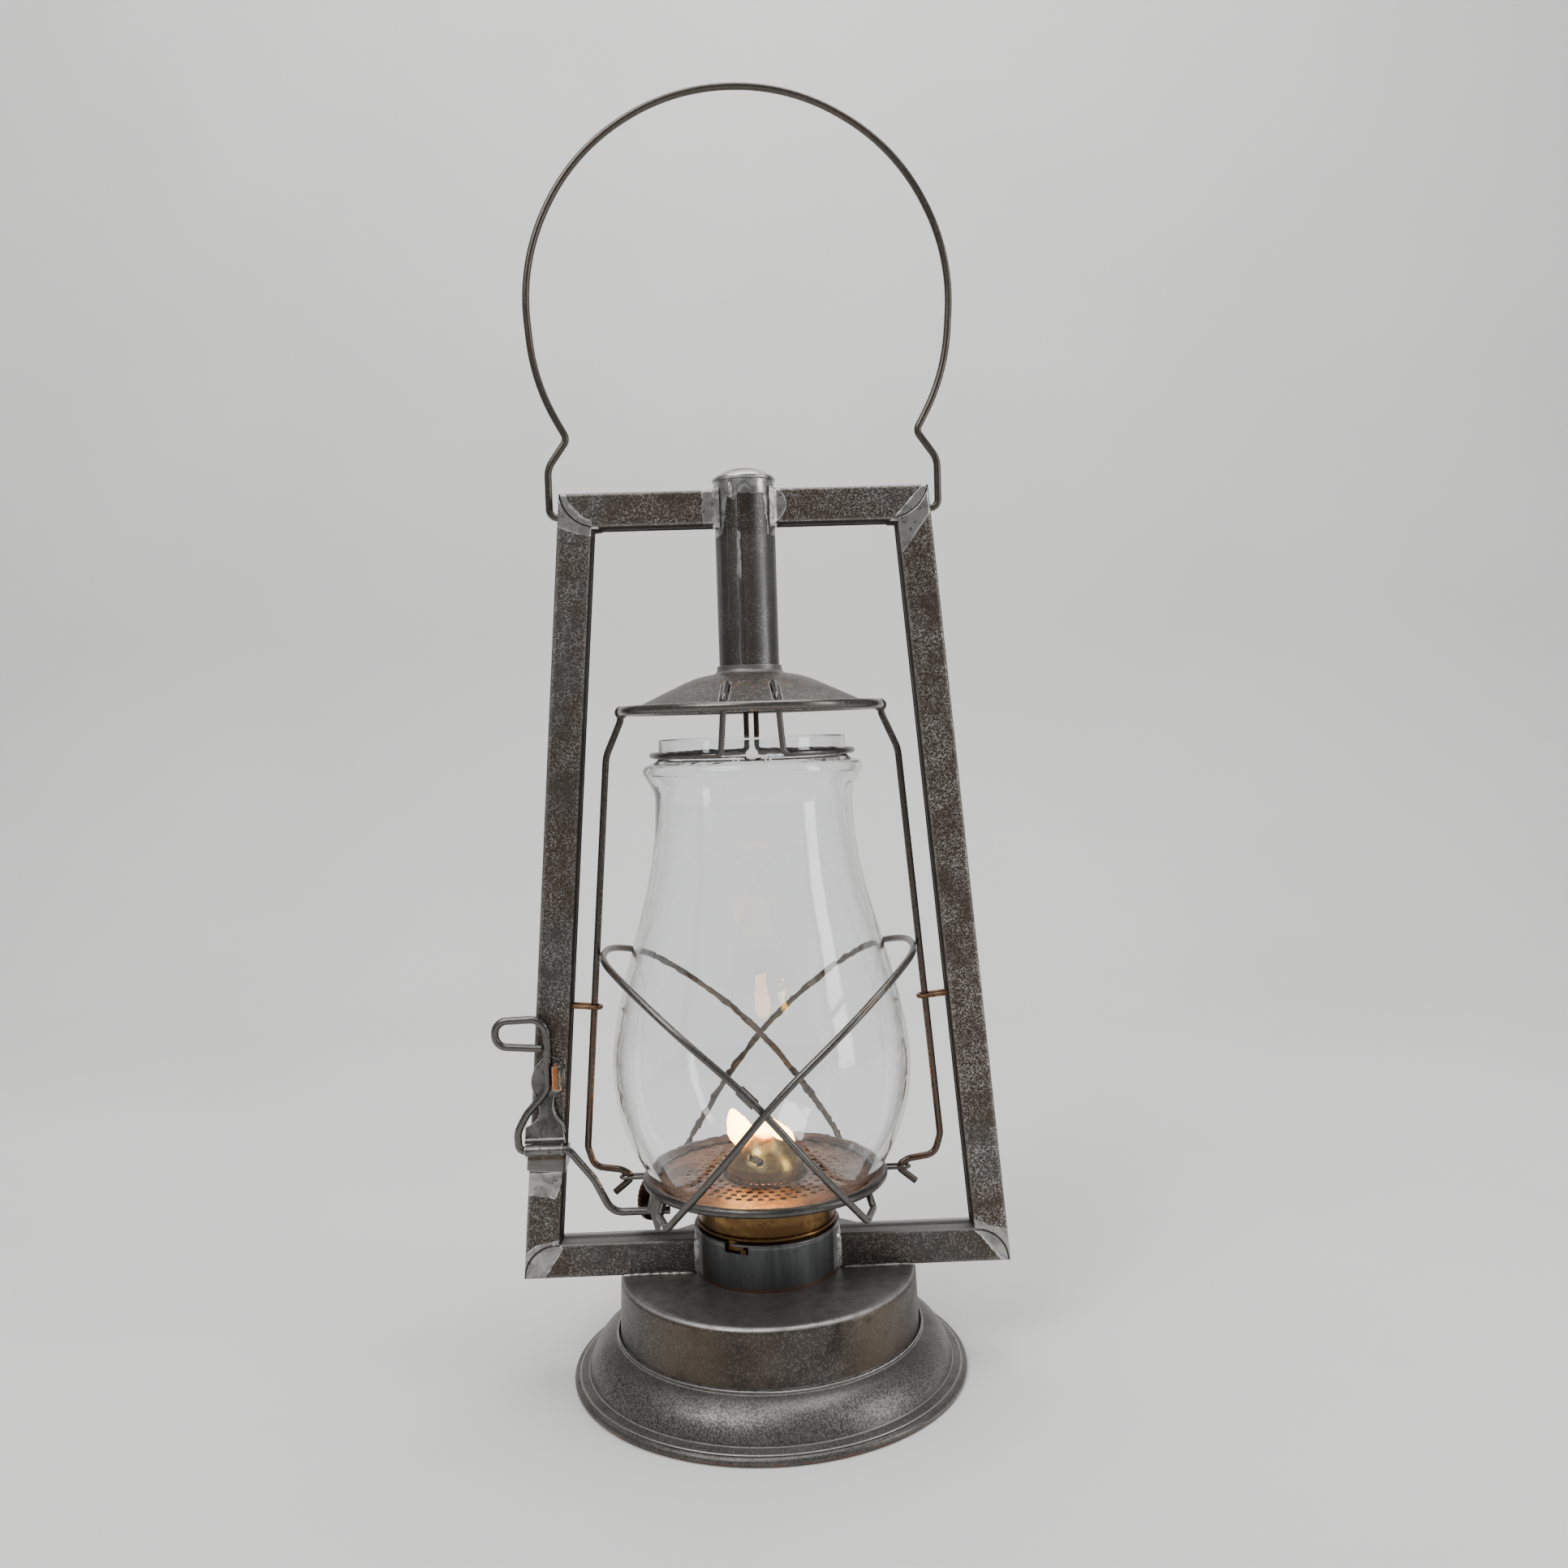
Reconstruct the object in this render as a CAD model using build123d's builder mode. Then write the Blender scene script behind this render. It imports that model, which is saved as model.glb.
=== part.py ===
"""Square-tube kerosene lantern with a lift-up globe cage and a swinging wire bail.

The origin is the centre of the base on the surface it stands on, +Z is up, -Y is the front
and the square-tube frame lies in the XZ plane.
"""
from build123d import *
import math
import os

# ---------------------------------------------------------------- driving dimensions (mm)
SHEET = 0.8                # tinplate of the fount, drum, chimney and tubes
TUBE = 13.0                # outside of the square tubes
TUBE_EDGE = 1.3            # rounding of the tubes' long edges
FOUNT_TOP = 38.8           # top plate of the fuel fount, where the lower tubes rest
FRAME_TOP = 334.5          # upper face of the top tubes
FRAME_HALF_LOW = 92.97     # half width of the frame, outside, at FOUNT_TOP
FRAME_HALF_HIGH = 68.81    # half width of the frame, outside, at FRAME_TOP
LEAN = (FRAME_HALF_LOW - FRAME_HALF_HIGH) / (FRAME_TOP - FOUNT_TOP)
FOUNT_R = 56.5             # fount wall at the top
BASE_R = 75.2              # outside of the rolled base edge
DRUM_R = 27.36             # air drum on the fount
DRUM_TOP = 56.5
CHIMNEY_R = 11.34
CHIMNEY_LOW = 259.0        # lower end of the chimney, inside the canopy
CHIMNEY_TOP = 337.6
CAGE_WIRE = 2.6            # guide wires and guard wires
RETAINER_WIRE = 2.2
LEVER_WIRE = 2.9
BAIL_WIRE = 2.7
PIN_PLAY = 0.07            # radial clearance of a wire or shaft in its hole
PLATE_TOP = 75.0           # globe plate, upper face
RIM_R = 45.15              # centre line of the plate's rolled rim
RIM_WIRE_R = 1.75
GLASS = 1.8                # globe wall
BAIL_PIVOT_Z = 326.5
BARREL_Y = -9.4            # lever bearing barrel, in front of the left post
BARREL_Z = 89.3
CRANK_Z = 64.7             # lever's lifting end
SHAFT_Z = 58.5             # wick shaft
SHAFT_AZIMUTH = 147.0      # direction in which the wick shaft leaves the burner
SHAFT_SIDE = 3.9           # wick shaft beside the burner's axis
PIN_Z = 54.25              # bayonet pins
FILLER_Y = 42.0            # filler neck, behind the burner

os.makedirs("parts", exist_ok=True)


# ---------------------------------------------------------------- helpers
def save(part, label):
    """Label a finished piece and write it as its own STEP file."""
    part.label = label
    export_step(part, f"parts/{label}.step")


def post_x(z, inward=0.0):
    """Half width of the frame at height z, on a line that lies inward of the outer face."""
    return FRAME_HALF_LOW - LEAN * (z - FOUNT_TOP) - inward * math.sqrt(1 + LEAN**2)


def natural_radii(points, least=0.0, share=0.45):
    """Bend radii of a wire: each as large as the two runs beside the corner allow."""
    radii = []
    for before, corner, after in zip(points, points[1:], points[2:]):
        run_in = Vector(*corner) - Vector(*before)
        run_out = Vector(*after) - Vector(*corner)
        half_turn = math.radians(run_in.get_angle(run_out)) / 2
        radii.append(max(least, share * min(run_in.length, run_out.length) / math.tan(half_turn)))
    return radii


def bend_wire(points, radii, diameter, mode=Mode.ADD):
    """Sweep a round wire along straight runs joined by tangent arcs."""
    with BuildLine() as path:
        FilletPolyline(*points, radius=radii)
    with BuildSketch(Plane(origin=path.line @ 0, z_dir=path.line % 0)) as section:
        Circle(diameter / 2)
    sweep(section.sketch, path=path.line, mode=mode)


def straight_rod(start, end, diameter, mode=Mode.ADD):
    """A straight round rod from one point to another."""
    run = Vector(*end) - Vector(*start)
    with BuildSketch(Plane(origin=start, z_dir=run)) as section:
        Circle(diameter / 2)
    extrude(section.sketch, amount=run.length, mode=mode)


def turn_outline(outline, thickness):
    """Revolve a sheet of the given thickness around Z; outline() draws its middle line."""
    with BuildSketch(Plane.XZ) as section:
        with BuildLine():
            outline()
            offset(amount=thickness / 2, side=Side.BOTH)
        make_face()
        Rectangle(1000, 2000, align=(Align.MIN, Align.CENTER), mode=Mode.INTERSECT)
    revolve(section.sketch, axis=Axis.Z)


def ring_bead(radius, z, bead_r, mode=Mode.ADD):
    """A rolled bead: a round section turned around Z."""
    with BuildSketch(Plane.XZ) as section:
        with Locations((radius, z)):
            Circle(bead_r)
    revolve(section.sketch, axis=Axis.Z, mode=mode)


def block(x_range, y_range, z_range, mode=Mode.ADD):
    """A box given by its limits along the three axes."""
    centre = [(low + high) / 2 for low, high in (x_range, y_range, z_range)]
    with Locations(tuple(centre)):
        Box(x_range[1] - x_range[0], y_range[1] - y_range[0], z_range[1] - z_range[0], mode=mode)


def frame_tube(outline, side):
    """A square tube of the frame. outline(inward_a, inward_b) gives its four side-view corners."""
    outer = [(side * x, z) for x, z in outline(0.0, TUBE)]
    hollow = [(side * x, z) for x, z in outline(SHEET, TUBE - SHEET)]
    with BuildSketch(Plane.XZ) as body:
        with BuildLine():
            Polyline(*outer, close=True)
        make_face()
    extrude(body.sketch, amount=TUBE / 2, both=True)
    rounded = []
    for first, last in ((outer[0], outer[1]), (outer[2], outer[3])):
        middle = Vector((first[0] + last[0]) / 2, 0, (first[1] + last[1]) / 2)
        near = [e for e in edges() if abs((e @ 0.5).X - middle.X) < 0.5]
        on_line = [e for e in near if abs((e @ 0.5).Z - middle.Z) < 0.5]
        rounded += [e for e in on_line if abs(abs((e @ 0.5).Y) - TUBE / 2) < 0.5]
    fillet(rounded, TUBE_EDGE)
    with BuildSketch(Plane.XZ) as bore:
        with BuildLine():
            Polyline(*hollow, close=True)
        make_face()
    extrude(bore.sketch, amount=TUBE / 2 - SHEET, both=True, mode=Mode.SUBTRACT)


def lower_outline(near, far):
    """Lower tube: from inside the drum to the mitre at the foot of the post."""
    low, high = FOUNT_TOP + near, FOUNT_TOP + far
    return [(DRUM_R - 6, low), (post_x(low, near), low), (post_x(high, far), high), (DRUM_R - 6, high)]


def side_outline(near, far):
    """Post: from the lower mitre to the upper mitre."""
    low_out, low_in = FOUNT_TOP + near, FOUNT_TOP + far
    top_out, top_in = FRAME_TOP - near, FRAME_TOP - far
    return [
        (post_x(low_out, near), low_out),
        (post_x(top_out, near), top_out),
        (post_x(top_in, far), top_in),
        (post_x(low_in, far), low_in),
    ]


def top_outline(near, far):
    """Top tube: from inside the chimney to the mitre at the head of the post."""
    high, low = FRAME_TOP - near, FRAME_TOP - far
    return [(CHIMNEY_R - 6, high), (post_x(high, near), high), (post_x(low, far), low), (CHIMNEY_R - 6, low)]


SEAM_WIDTH = 0.7
SEAM_DEPTH = 0.35
SEAM_END = 4.0             # the folded seams stop this far from the corners

# ---------------------------------------------------------------- fount and base
COLLAR_R = 15.0            # burner collar in the middle of the fount
NECK_R = 9.0               # filler neck
FOUNT_LOW = 9.0            # lower edge of the fount wall, inside the skirt

with BuildPart() as fount_shell:
    def fount_line():
        mid_top = FOUNT_TOP - SHEET / 2
        FilletPolyline(
            (COLLAR_R - SHEET / 2, mid_top),
            (FOUNT_R - SHEET / 2, mid_top),
            (FOUNT_R + 0.8, FOUNT_LOW),
            radius=2.2,
        )
    turn_outline(fount_line, SHEET)
    with Locations((0, FILLER_Y, FOUNT_TOP)):
        Cylinder(NECK_R - SHEET, 4, mode=Mode.SUBTRACT)
save(fount_shell.part, "fount_shell")

SKIRT_BEAD_R = 1.7
with BuildPart() as base_skirt:
    def skirt_line():
        collar = Line((58.25, 17.4), (58.25, 16.2))
        belly = ThreePointArc(collar @ 1, (64.9, 12.4), (68.3, 6.9))
        groove = Line(belly @ 1, (69.3, 3.9))
        Line(groove @ 1, (BASE_R - 2.6, 3.0))
    turn_outline(skirt_line, SHEET)
    ring_bead(BASE_R - SKIRT_BEAD_R, SKIRT_BEAD_R - 0.2, SKIRT_BEAD_R)
    block((-90, 90), (-90, 90), (-5, 0), mode=Mode.SUBTRACT)
save(base_skirt.part, "base_skirt")

with BuildPart() as fount_bottom:
    def bottom_line():
        FilletPolyline((0, FOUNT_LOW + 2.5), (40, FOUNT_LOW + 1.5), (55.9, FOUNT_LOW + 1.5),
                       (55.9, FOUNT_LOW + 5), radius=[8, 1.2])
    turn_outline(bottom_line, SHEET)
save(fount_bottom.part, "fount_bottom")

with BuildPart() as fount_collar:
    with BuildSketch(Plane.XY.offset(FOUNT_TOP)):
        Circle(COLLAR_R + 1.2)
        Circle(COLLAR_R - 1.4, mode=Mode.SUBTRACT)
    extrude(amount=3.4)
save(fount_collar.part, "fount_collar")

with BuildPart() as filler_neck:
    with BuildSketch(Plane.XY.offset(FOUNT_TOP)):
        with Locations((0, FILLER_Y)):
            Circle(NECK_R)
            Circle(NECK_R - SHEET, mode=Mode.SUBTRACT)
    extrude(amount=7.2)
save(filler_neck.part, "filler_neck")

CAP_R = 10.7
with BuildPart() as filler_cap:
    with BuildSketch(Plane.XY.offset(FOUNT_TOP + 2.4)):
        with Locations((0, FILLER_Y)):
            Circle(CAP_R)
    extrude(amount=8.0)
    fillet(filler_cap.edges().group_by(Axis.Z)[-1], 1.4)
    with BuildSketch(Plane.XY.offset(FOUNT_TOP + 2.4)):
        with Locations((0, FILLER_Y)):
            Circle(NECK_R + 0.35)
    extrude(amount=7.0, mode=Mode.SUBTRACT)
    with BuildSketch(Plane.XY.offset(FOUNT_TOP)):
        with Locations((0, FILLER_Y)):
            with PolarLocations(CAP_R + 0.35, 24):
                Circle(0.7)
    extrude(amount=8.6, mode=Mode.SUBTRACT)
save(filler_cap.part, "filler_cap")

with BuildPart() as filler_gasket:
    with BuildSketch(Plane.XY.offset(FOUNT_TOP + 7.6)):
        with Locations((0, FILLER_Y)):
            Circle(NECK_R + 0.1)
            Circle(NECK_R - 3, mode=Mode.SUBTRACT)
    extrude(amount=1.7)
save(filler_gasket.part, "filler_gasket")

# ---------------------------------------------------------------- air drum with bayonet slots
SLOT_LOW = 52.9
SLOT_HIGH = 55.6
SLOT_START = 234.5         # azimuths of the L-shaped slot's leg along the drum
SLOT_END = 254.6
SLOT_ENTRY = 6.6           # angle covered by the slot's mouth


def drum_sector(start, sweep_angle, low, high):
    """Cut a window through the drum wall between two azimuths and two heights."""
    reach = DRUM_R + 4
    with BuildSketch(Plane.XY.offset(low)) as window:
        with BuildLine():
            arc = CenterArc((0, 0), reach, start, sweep_angle)
            inner = CenterArc((0, 0), DRUM_R - 4, start, sweep_angle)
            Line(arc @ 0, inner @ 0)
            Line(arc @ 1, inner @ 1)
        make_face()
    extrude(window.sketch, amount=high - low, mode=Mode.SUBTRACT)


with BuildPart() as burner_drum:
    with BuildSketch(Plane.XY.offset(FOUNT_TOP)):
        Circle(DRUM_R)
        Circle(DRUM_R - SHEET, mode=Mode.SUBTRACT)
    extrude(amount=DRUM_TOP - FOUNT_TOP)
    with BuildSketch(Plane.XZ) as drum_bead:
        with Locations((DRUM_R, DRUM_TOP - 0.45)):
            Circle(0.55)
        with Locations((DRUM_R - 2, DRUM_TOP)):
            Rectangle(2.4, 4, mode=Mode.SUBTRACT)
    revolve(drum_bead.sketch, axis=Axis.Z)
    for half_turn in (0, 180):
        drum_sector(SLOT_START + half_turn, SLOT_END - SLOT_START, SLOT_LOW, SLOT_HIGH)
        drum_sector(SLOT_START + half_turn, SLOT_ENTRY, SLOT_LOW, DRUM_TOP + 1)
    bore = TUBE / 2 - SHEET
    block((-40, 40), (-bore, bore), (FOUNT_TOP + SHEET, FOUNT_TOP + TUBE - SHEET), mode=Mode.SUBTRACT)
save(burner_drum.part, "burner_drum")

# ---------------------------------------------------------------- square tube frame
for side, name in ((-1, "left"), (1, "right")):
    with BuildPart() as lower_tube:
        frame_tube(lower_outline, side)
        Cylinder(DRUM_R, 200, mode=Mode.SUBTRACT)
        seam = sorted((side * (DRUM_R + 3), side * (post_x(FOUNT_TOP + TUBE, TUBE) - SEAM_END)))
        seam_top = FOUNT_TOP + TUBE
        seam_y = (-SEAM_WIDTH / 2, SEAM_WIDTH / 2)
        block(seam, seam_y, (seam_top - SEAM_DEPTH, seam_top + 1), mode=Mode.SUBTRACT)
    save(lower_tube.part, f"lower_tube_{name}")

    with BuildPart() as side_tube:
        frame_tube(side_outline, side)
        low_z, high_z = FOUNT_TOP + TUBE + SEAM_END, FRAME_TOP - TUBE - SEAM_END
        with BuildSketch(Plane.XZ) as post_seam:
            with BuildLine():
                Polyline(
                    (side * (post_x(low_z, TUBE) + SEAM_DEPTH), low_z),
                    (side * (post_x(high_z, TUBE) + SEAM_DEPTH), high_z),
                    (side * (post_x(high_z, TUBE) - 1), high_z),
                    (side * (post_x(low_z, TUBE) - 1), low_z),
                    close=True,
                )
            make_face()
        extrude(post_seam.sketch, amount=SEAM_WIDTH / 2, both=True, mode=Mode.SUBTRACT)
        bail_hole = BAIL_WIRE + 2 * PIN_PLAY
        outer_x = side * (post_x(BAIL_PIVOT_Z) + 4)
        straight_rod((outer_x, 0, BAIL_PIVOT_Z), (side * 63.5, 0, BAIL_PIVOT_Z), bail_hole, Mode.SUBTRACT)
    save(side_tube.part, f"side_tube_{name}")

    with BuildPart() as top_tube:
        frame_tube(top_outline, side)
        Cylinder(CHIMNEY_R, 2 * FRAME_TOP + 50, mode=Mode.SUBTRACT)
        seam = sorted((side * (CHIMNEY_R + 3), side * (post_x(FRAME_TOP - TUBE, TUBE) - SEAM_END)))
        seam_z = FRAME_TOP - TUBE
        seam_y = (-SEAM_WIDTH / 2, SEAM_WIDTH / 2)
        block(seam, seam_y, (seam_z - 1, seam_z + SEAM_DEPTH), mode=Mode.SUBTRACT)
    save(top_tube.part, f"top_tube_{name}")

CHIMNEY_LAP_X = (-1.6, -1.25)
CHIMNEY_LAP_DEPTH = 0.4
with BuildPart() as chimney_tube:
    with BuildSketch(Plane.XY.offset(CHIMNEY_LOW)):
        Circle(CHIMNEY_R)
        Circle(CHIMNEY_R - SHEET, mode=Mode.SUBTRACT)
    extrude(amount=CHIMNEY_TOP - CHIMNEY_LOW)
    bore = TUBE / 2 - SHEET
    block((-30, 30), (-bore, bore), (FRAME_TOP - TUBE + SHEET, FRAME_TOP - SHEET), mode=Mode.SUBTRACT)
    # open lap seam down the front, a little left of the middle
    lap_y = (-CHIMNEY_R - 1, -CHIMNEY_R + CHIMNEY_LAP_DEPTH)
    block(CHIMNEY_LAP_X, lap_y, (CHIMNEY_LOW - 1, FRAME_TOP - 2), mode=Mode.SUBTRACT)
save(chimney_tube.part, "chimney_tube")

CHIMNEY_CAP_R = 11.95
CAP_SHOULDER = (10.6, CHIMNEY_TOP + 2.3)
CAP_CROWN = CHIMNEY_TOP + 5.4
with BuildPart() as chimney_cap:
    with BuildSketch(Plane.XZ):
        with BuildLine():
            lip_r = CHIMNEY_CAP_R - 0.9
            lip = ThreePointArc(
                (lip_r, CHIMNEY_TOP), (CHIMNEY_CAP_R, CHIMNEY_TOP + 0.9), (lip_r, CHIMNEY_TOP + 1.9)
            )
            shoulder = Line(lip @ 1, CAP_SHOULDER)
            dome = ThreePointArc(shoulder @ 1, (0, CAP_CROWN), (-CAP_SHOULDER[0], CAP_SHOULDER[1]))
            Polyline(dome @ 1, (-CAP_SHOULDER[0], CHIMNEY_TOP), lip @ 0)
        make_face()
        with Locations((50, CHIMNEY_TOP)):
            Rectangle(100, 20, mode=Mode.INTERSECT)
    revolve(axis=Axis.Z)
save(chimney_cap.part, "chimney_cap")

SOLDER = 0.7               # height of the solder fillets
SOLDER_REACH = 4.2         # from inside the wall to the fillets' thin edge on the tube
with BuildPart() as solder_joints:
    for centre_z, wall_r in ((FOUNT_TOP + TUBE / 2, DRUM_R), (FRAME_TOP - TUBE / 2, CHIMNEY_R)):
        for side in (-1, 1):
            start = wall_r - 2
            joint = Plane(origin=(side * start, 0, centre_z), x_dir=(0, 1, 0), z_dir=(side, 0, 0))
            with BuildSketch(joint) as foot:
                RectangleRounded(TUBE + 2 * SOLDER + 1.2, TUBE + 2 * SOLDER + 1.2, 2)
            extrude(foot.sketch, amount=SOLDER_REACH, taper=26)
    block((-60, 60), (-30, 30), (FOUNT_TOP - 20, FOUNT_TOP), mode=Mode.SUBTRACT)
    block((-60, 60), (-30, 30), (FOUNT_TOP + TUBE + SOLDER, FOUNT_TOP + TUBE + 30), mode=Mode.SUBTRACT)
    block((-60, 60), (-TUBE / 2, TUBE / 2), (FOUNT_TOP, FOUNT_TOP + TUBE), mode=Mode.SUBTRACT)
    block((-60, 60), (-TUBE / 2, TUBE / 2), (FRAME_TOP - TUBE, FRAME_TOP), mode=Mode.SUBTRACT)
    with BuildSketch(Plane.XY) as drum_space:
        Circle(DRUM_R)
    extrude(drum_space.sketch, amount=DRUM_TOP + 20, mode=Mode.SUBTRACT)
    with BuildSketch(Plane.XY.offset(300)) as chimney_space:
        Circle(CHIMNEY_R)
    extrude(chimney_space.sketch, amount=60, mode=Mode.SUBTRACT)
    block((-30, 30), (-30, 30), (CHIMNEY_TOP - 0.1, CHIMNEY_TOP + 20), mode=Mode.SUBTRACT)
save(solder_joints.part, "solder_joints")

# ---------------------------------------------------------------- staples on the posts
STAPLE_WIRE = 1.6
STAPLE_Z = 141.5
STAPLE_TIP = 60.7          # centre line of the staple's closed end
STAPLE_HALF = 2.45
for side, name in ((-1, "left"), (1, "right")):
    with BuildPart() as staple:
        root = side * (post_x(STAPLE_Z, TUBE) - 0.07)
        tip = side * STAPLE_TIP
        route = [
            (root, -STAPLE_HALF, STAPLE_Z + 0.5),
            (tip, -STAPLE_HALF, STAPLE_Z - 0.5),
            (tip, STAPLE_HALF, STAPLE_Z - 0.5),
            (root, STAPLE_HALF, STAPLE_Z + 0.5),
        ]
        bend_wire(route, 2.1, STAPLE_WIRE)
    save(staple.part, f"guide_staple_{name}")

# ---------------------------------------------------------------- lever strap and latch leaf
BARREL_R = 2.15
STRAP = 0.8
BARREL_ENDS = (-90.0, -76.2)
with BuildPart() as lever_strap:
    strap_z = 84.0
    middle_x = -post_x(strap_z, TUBE / 2)
    across = Plane(origin=(middle_x, 0, strap_z), x_dir=(1, 0, -LEAN), z_dir=(LEAN, 0, 1))
    with BuildSketch(across) as band:
        RectangleRounded(TUBE + 2 * STRAP, TUBE + 2 * STRAP, 1.6)
        Rectangle(TUBE + 0.04, TUBE + 0.04, mode=Mode.SUBTRACT)
    extrude(band.sketch, amount=3.6, both=True)
    front = -TUBE / 2 - STRAP
    block(BARREL_ENDS, (front, -TUBE / 2 - 0.02), (86.5, BARREL_Z + 1.6))
    straight_rod((BARREL_ENDS[0], BARREL_Y, BARREL_Z), (BARREL_ENDS[1], BARREL_Y, BARREL_Z), 2 * BARREL_R)
    bore = LEVER_WIRE + 2 * PIN_PLAY
    straight_rod((-95, BARREL_Y, BARREL_Z), (-70, BARREL_Y, BARREL_Z), bore, Mode.SUBTRACT)
save(lever_strap.part, "lever_strap")

with BuildPart() as lever_latch:
    leaf = Plane(origin=(0, -TUBE / 2 - 0.02, 0), x_dir=(1, 0, 0), z_dir=(0, -1, 0))
    with BuildSketch(leaf) as leaf_face:
        with BuildLine():
            base = Polyline((-76.0, 98.4), (-75.3, 91.2), (-90.6, 91.2), (-90.0, 97.5))
            left = Spline(base @ 1, (-84.6, 105.5), (-87.2, 113.5), (-84.6, 121.5), (-80.2, 124.6))
            neck = [(-79.3, 104.6), (-78.6, 109.0), (-75.6, 112.8), (-75.6, 121.6)]
            right = Spline(base @ 0, *neck, (-80.2, 124.6))
        make_face()
    extrude(leaf_face.sketch, amount=STRAP)
    # edge curled forward beside the lever wire
    with BuildSketch(Plane.XY.offset(112.6)) as curl:
        with BuildLine():
            hook = FilletPolyline(
                (-77.2, -TUBE / 2 - STRAP - 0.1), (-75.9, -TUBE / 2 - STRAP - 0.1),
                (-75.6, -11.9), (-78.1, -12.6), radius=[0.8, 1.6],
            )
            offset(amount=STRAP / 2, side=Side.BOTH)
        make_face()
    extrude(curl.sketch, amount=9.0)
save(lever_latch.part, "lever_latch")

# ---------------------------------------------------------------- lift lever
with BuildPart() as lever_wire:
    route = [
        (-82.4, 127.9), (-99.6, 129.2), (-99.6, 138.7), (-80.4, 139.1), (-80.5, 112.4),
        (-88.9, 103.2), (-92.6, 96.5), (-92.3, BARREL_Z), (-73.9, BARREL_Z), (-64.6, 77.6),
        (-58.3, CRANK_Z), (-36.4, CRANK_Z),
    ]
    bends = [4.55, 4.55, 6.0, 9.0, 10.0, 9.0, 2.6, 4.2, 16.0, 7.0]
    bend_wire([(x, BARREL_Y, z) for x, z in route], bends, LEVER_WIRE)
save(lever_wire.part, "lever_wire")

# ---------------------------------------------------------------- bail
with BuildPart() as bail_wire:
    loop_r, loop_z = 79.0, 405.0
    loop_start = -36.0         # lower end of the big loop, degrees below the horizontal
    corner_count = 8
    step = (180 - 2 * loop_start) / corner_count
    corners = []
    for i in range(corner_count):
        angle = math.radians(loop_start + (i + 0.5) * step)
        reach = loop_r / math.cos(math.radians(step / 2))
        corners.append((reach * math.cos(angle), 0, loop_z + reach * math.sin(angle)))
    foot = [(64.2, 0, BAIL_PIVOT_Z), (73.2, 0, BAIL_PIVOT_Z), (73.2, 0, 345.0), (65.6, 0, 355.6)]
    foot_bends = [3.2, 9.0, 3.4]
    other_foot = [(-x, y, z) for x, y, z in reversed(foot)]
    bends = foot_bends + [0.97 * loop_r] * corner_count + foot_bends[::-1]
    bend_wire(foot + corners + other_foot, bends, BAIL_WIRE)
save(bail_wire.part, "bail_wire")

# ---------------------------------------------------------------- canopy
CANOPY = 0.6
NECK_GAP = 0.3             # sliding clearance on the chimney
CANOPY_RIM_R = 48.3
CANOPY_RIM_Z = 253.2
CANOPY_RIM_WIRE = 1.85
SLOT_TOP = (8.5, -26.8, 261.9)
SLOT_FOOT = (9.4, -38.4, 256.6)
with BuildPart() as canopy:
    def canopy_side(lift):
        """The canopy's outline from its neck to its rim, lifted or lowered for its two faces."""
        neck_r = CHIMNEY_R + NECK_GAP + CANOPY / 2 + lift
        neck = Line((neck_r, 269.0), (neck_r, 267.6 + lift))
        points = [(15.2, 265.5), (27.6, 261.4), (40.4, 255.4), (CANOPY_RIM_R - 1.2, 253.6)]
        raised = [(x + 0.3 * lift, z + lift) for x, z in points]
        slope = Spline(neck @ 1, *raised, tangents=((0, -1), (1, -0.1)))
        return neck @ 0, slope @ 1

    with BuildSketch(Plane.XZ):
        with BuildLine():
            upper_neck, upper_rim = canopy_side(CANOPY / 2)
            lower_neck, lower_rim = canopy_side(-CANOPY / 2)
            Line(upper_neck, lower_neck)
            Line(upper_rim, lower_rim)
        make_face()
    revolve(axis=Axis.Z)
    ring_bead(CANOPY_RIM_R, CANOPY_RIM_Z, CANOPY_RIM_WIRE, mode=Mode.SUBTRACT)
    with BuildSketch(Plane.XY.offset(CANOPY_RIM_Z - 5)) as wire_slots:
        for side in (-1, 1):
            with BuildLine():
                slot = Line((side * SLOT_TOP[0], SLOT_TOP[1]), (side * SLOT_FOOT[0], SLOT_FOOT[1] - 0.9))
            SlotArc(slot, height=RETAINER_WIRE + 1.2)
    extrude(wire_slots.sketch, amount=20, mode=Mode.SUBTRACT)
save(canopy.part, "canopy")

GUIDE_ROUTE = [
    (49.1, 253.4), (49.6, 249.4), (55.4, 236.2), (67.7, 87.2), (65.4, 79.4), (55.4, 77.9),
    (50.5, 75.1), (57.9, 69.1),
]
GUIDE_BENDS = [4.0, 14.0, 6.0, 5.0, 5.0, 1.9]
KNUCKLE_X = CANOPY_RIM_R + 0.8   # lumps in the rim where the guide wires are set in
KNUCKLE_Z = CANOPY_RIM_Z - 0.4
with BuildPart() as canopy_rim:
    ring_bead(CANOPY_RIM_R, CANOPY_RIM_Z, CANOPY_RIM_WIRE)
    with Locations((KNUCKLE_X, 0, KNUCKLE_Z), (-KNUCKLE_X, 0, KNUCKLE_Z)):
        Sphere(2.5)
    for side in (-1, 1):
        bend_wire([(side * x, 0, z) for x, z in GUIDE_ROUTE[:3]], GUIDE_BENDS[:1], CAGE_WIRE, Mode.SUBTRACT)
save(canopy_rim.part, "canopy_rim")

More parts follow.
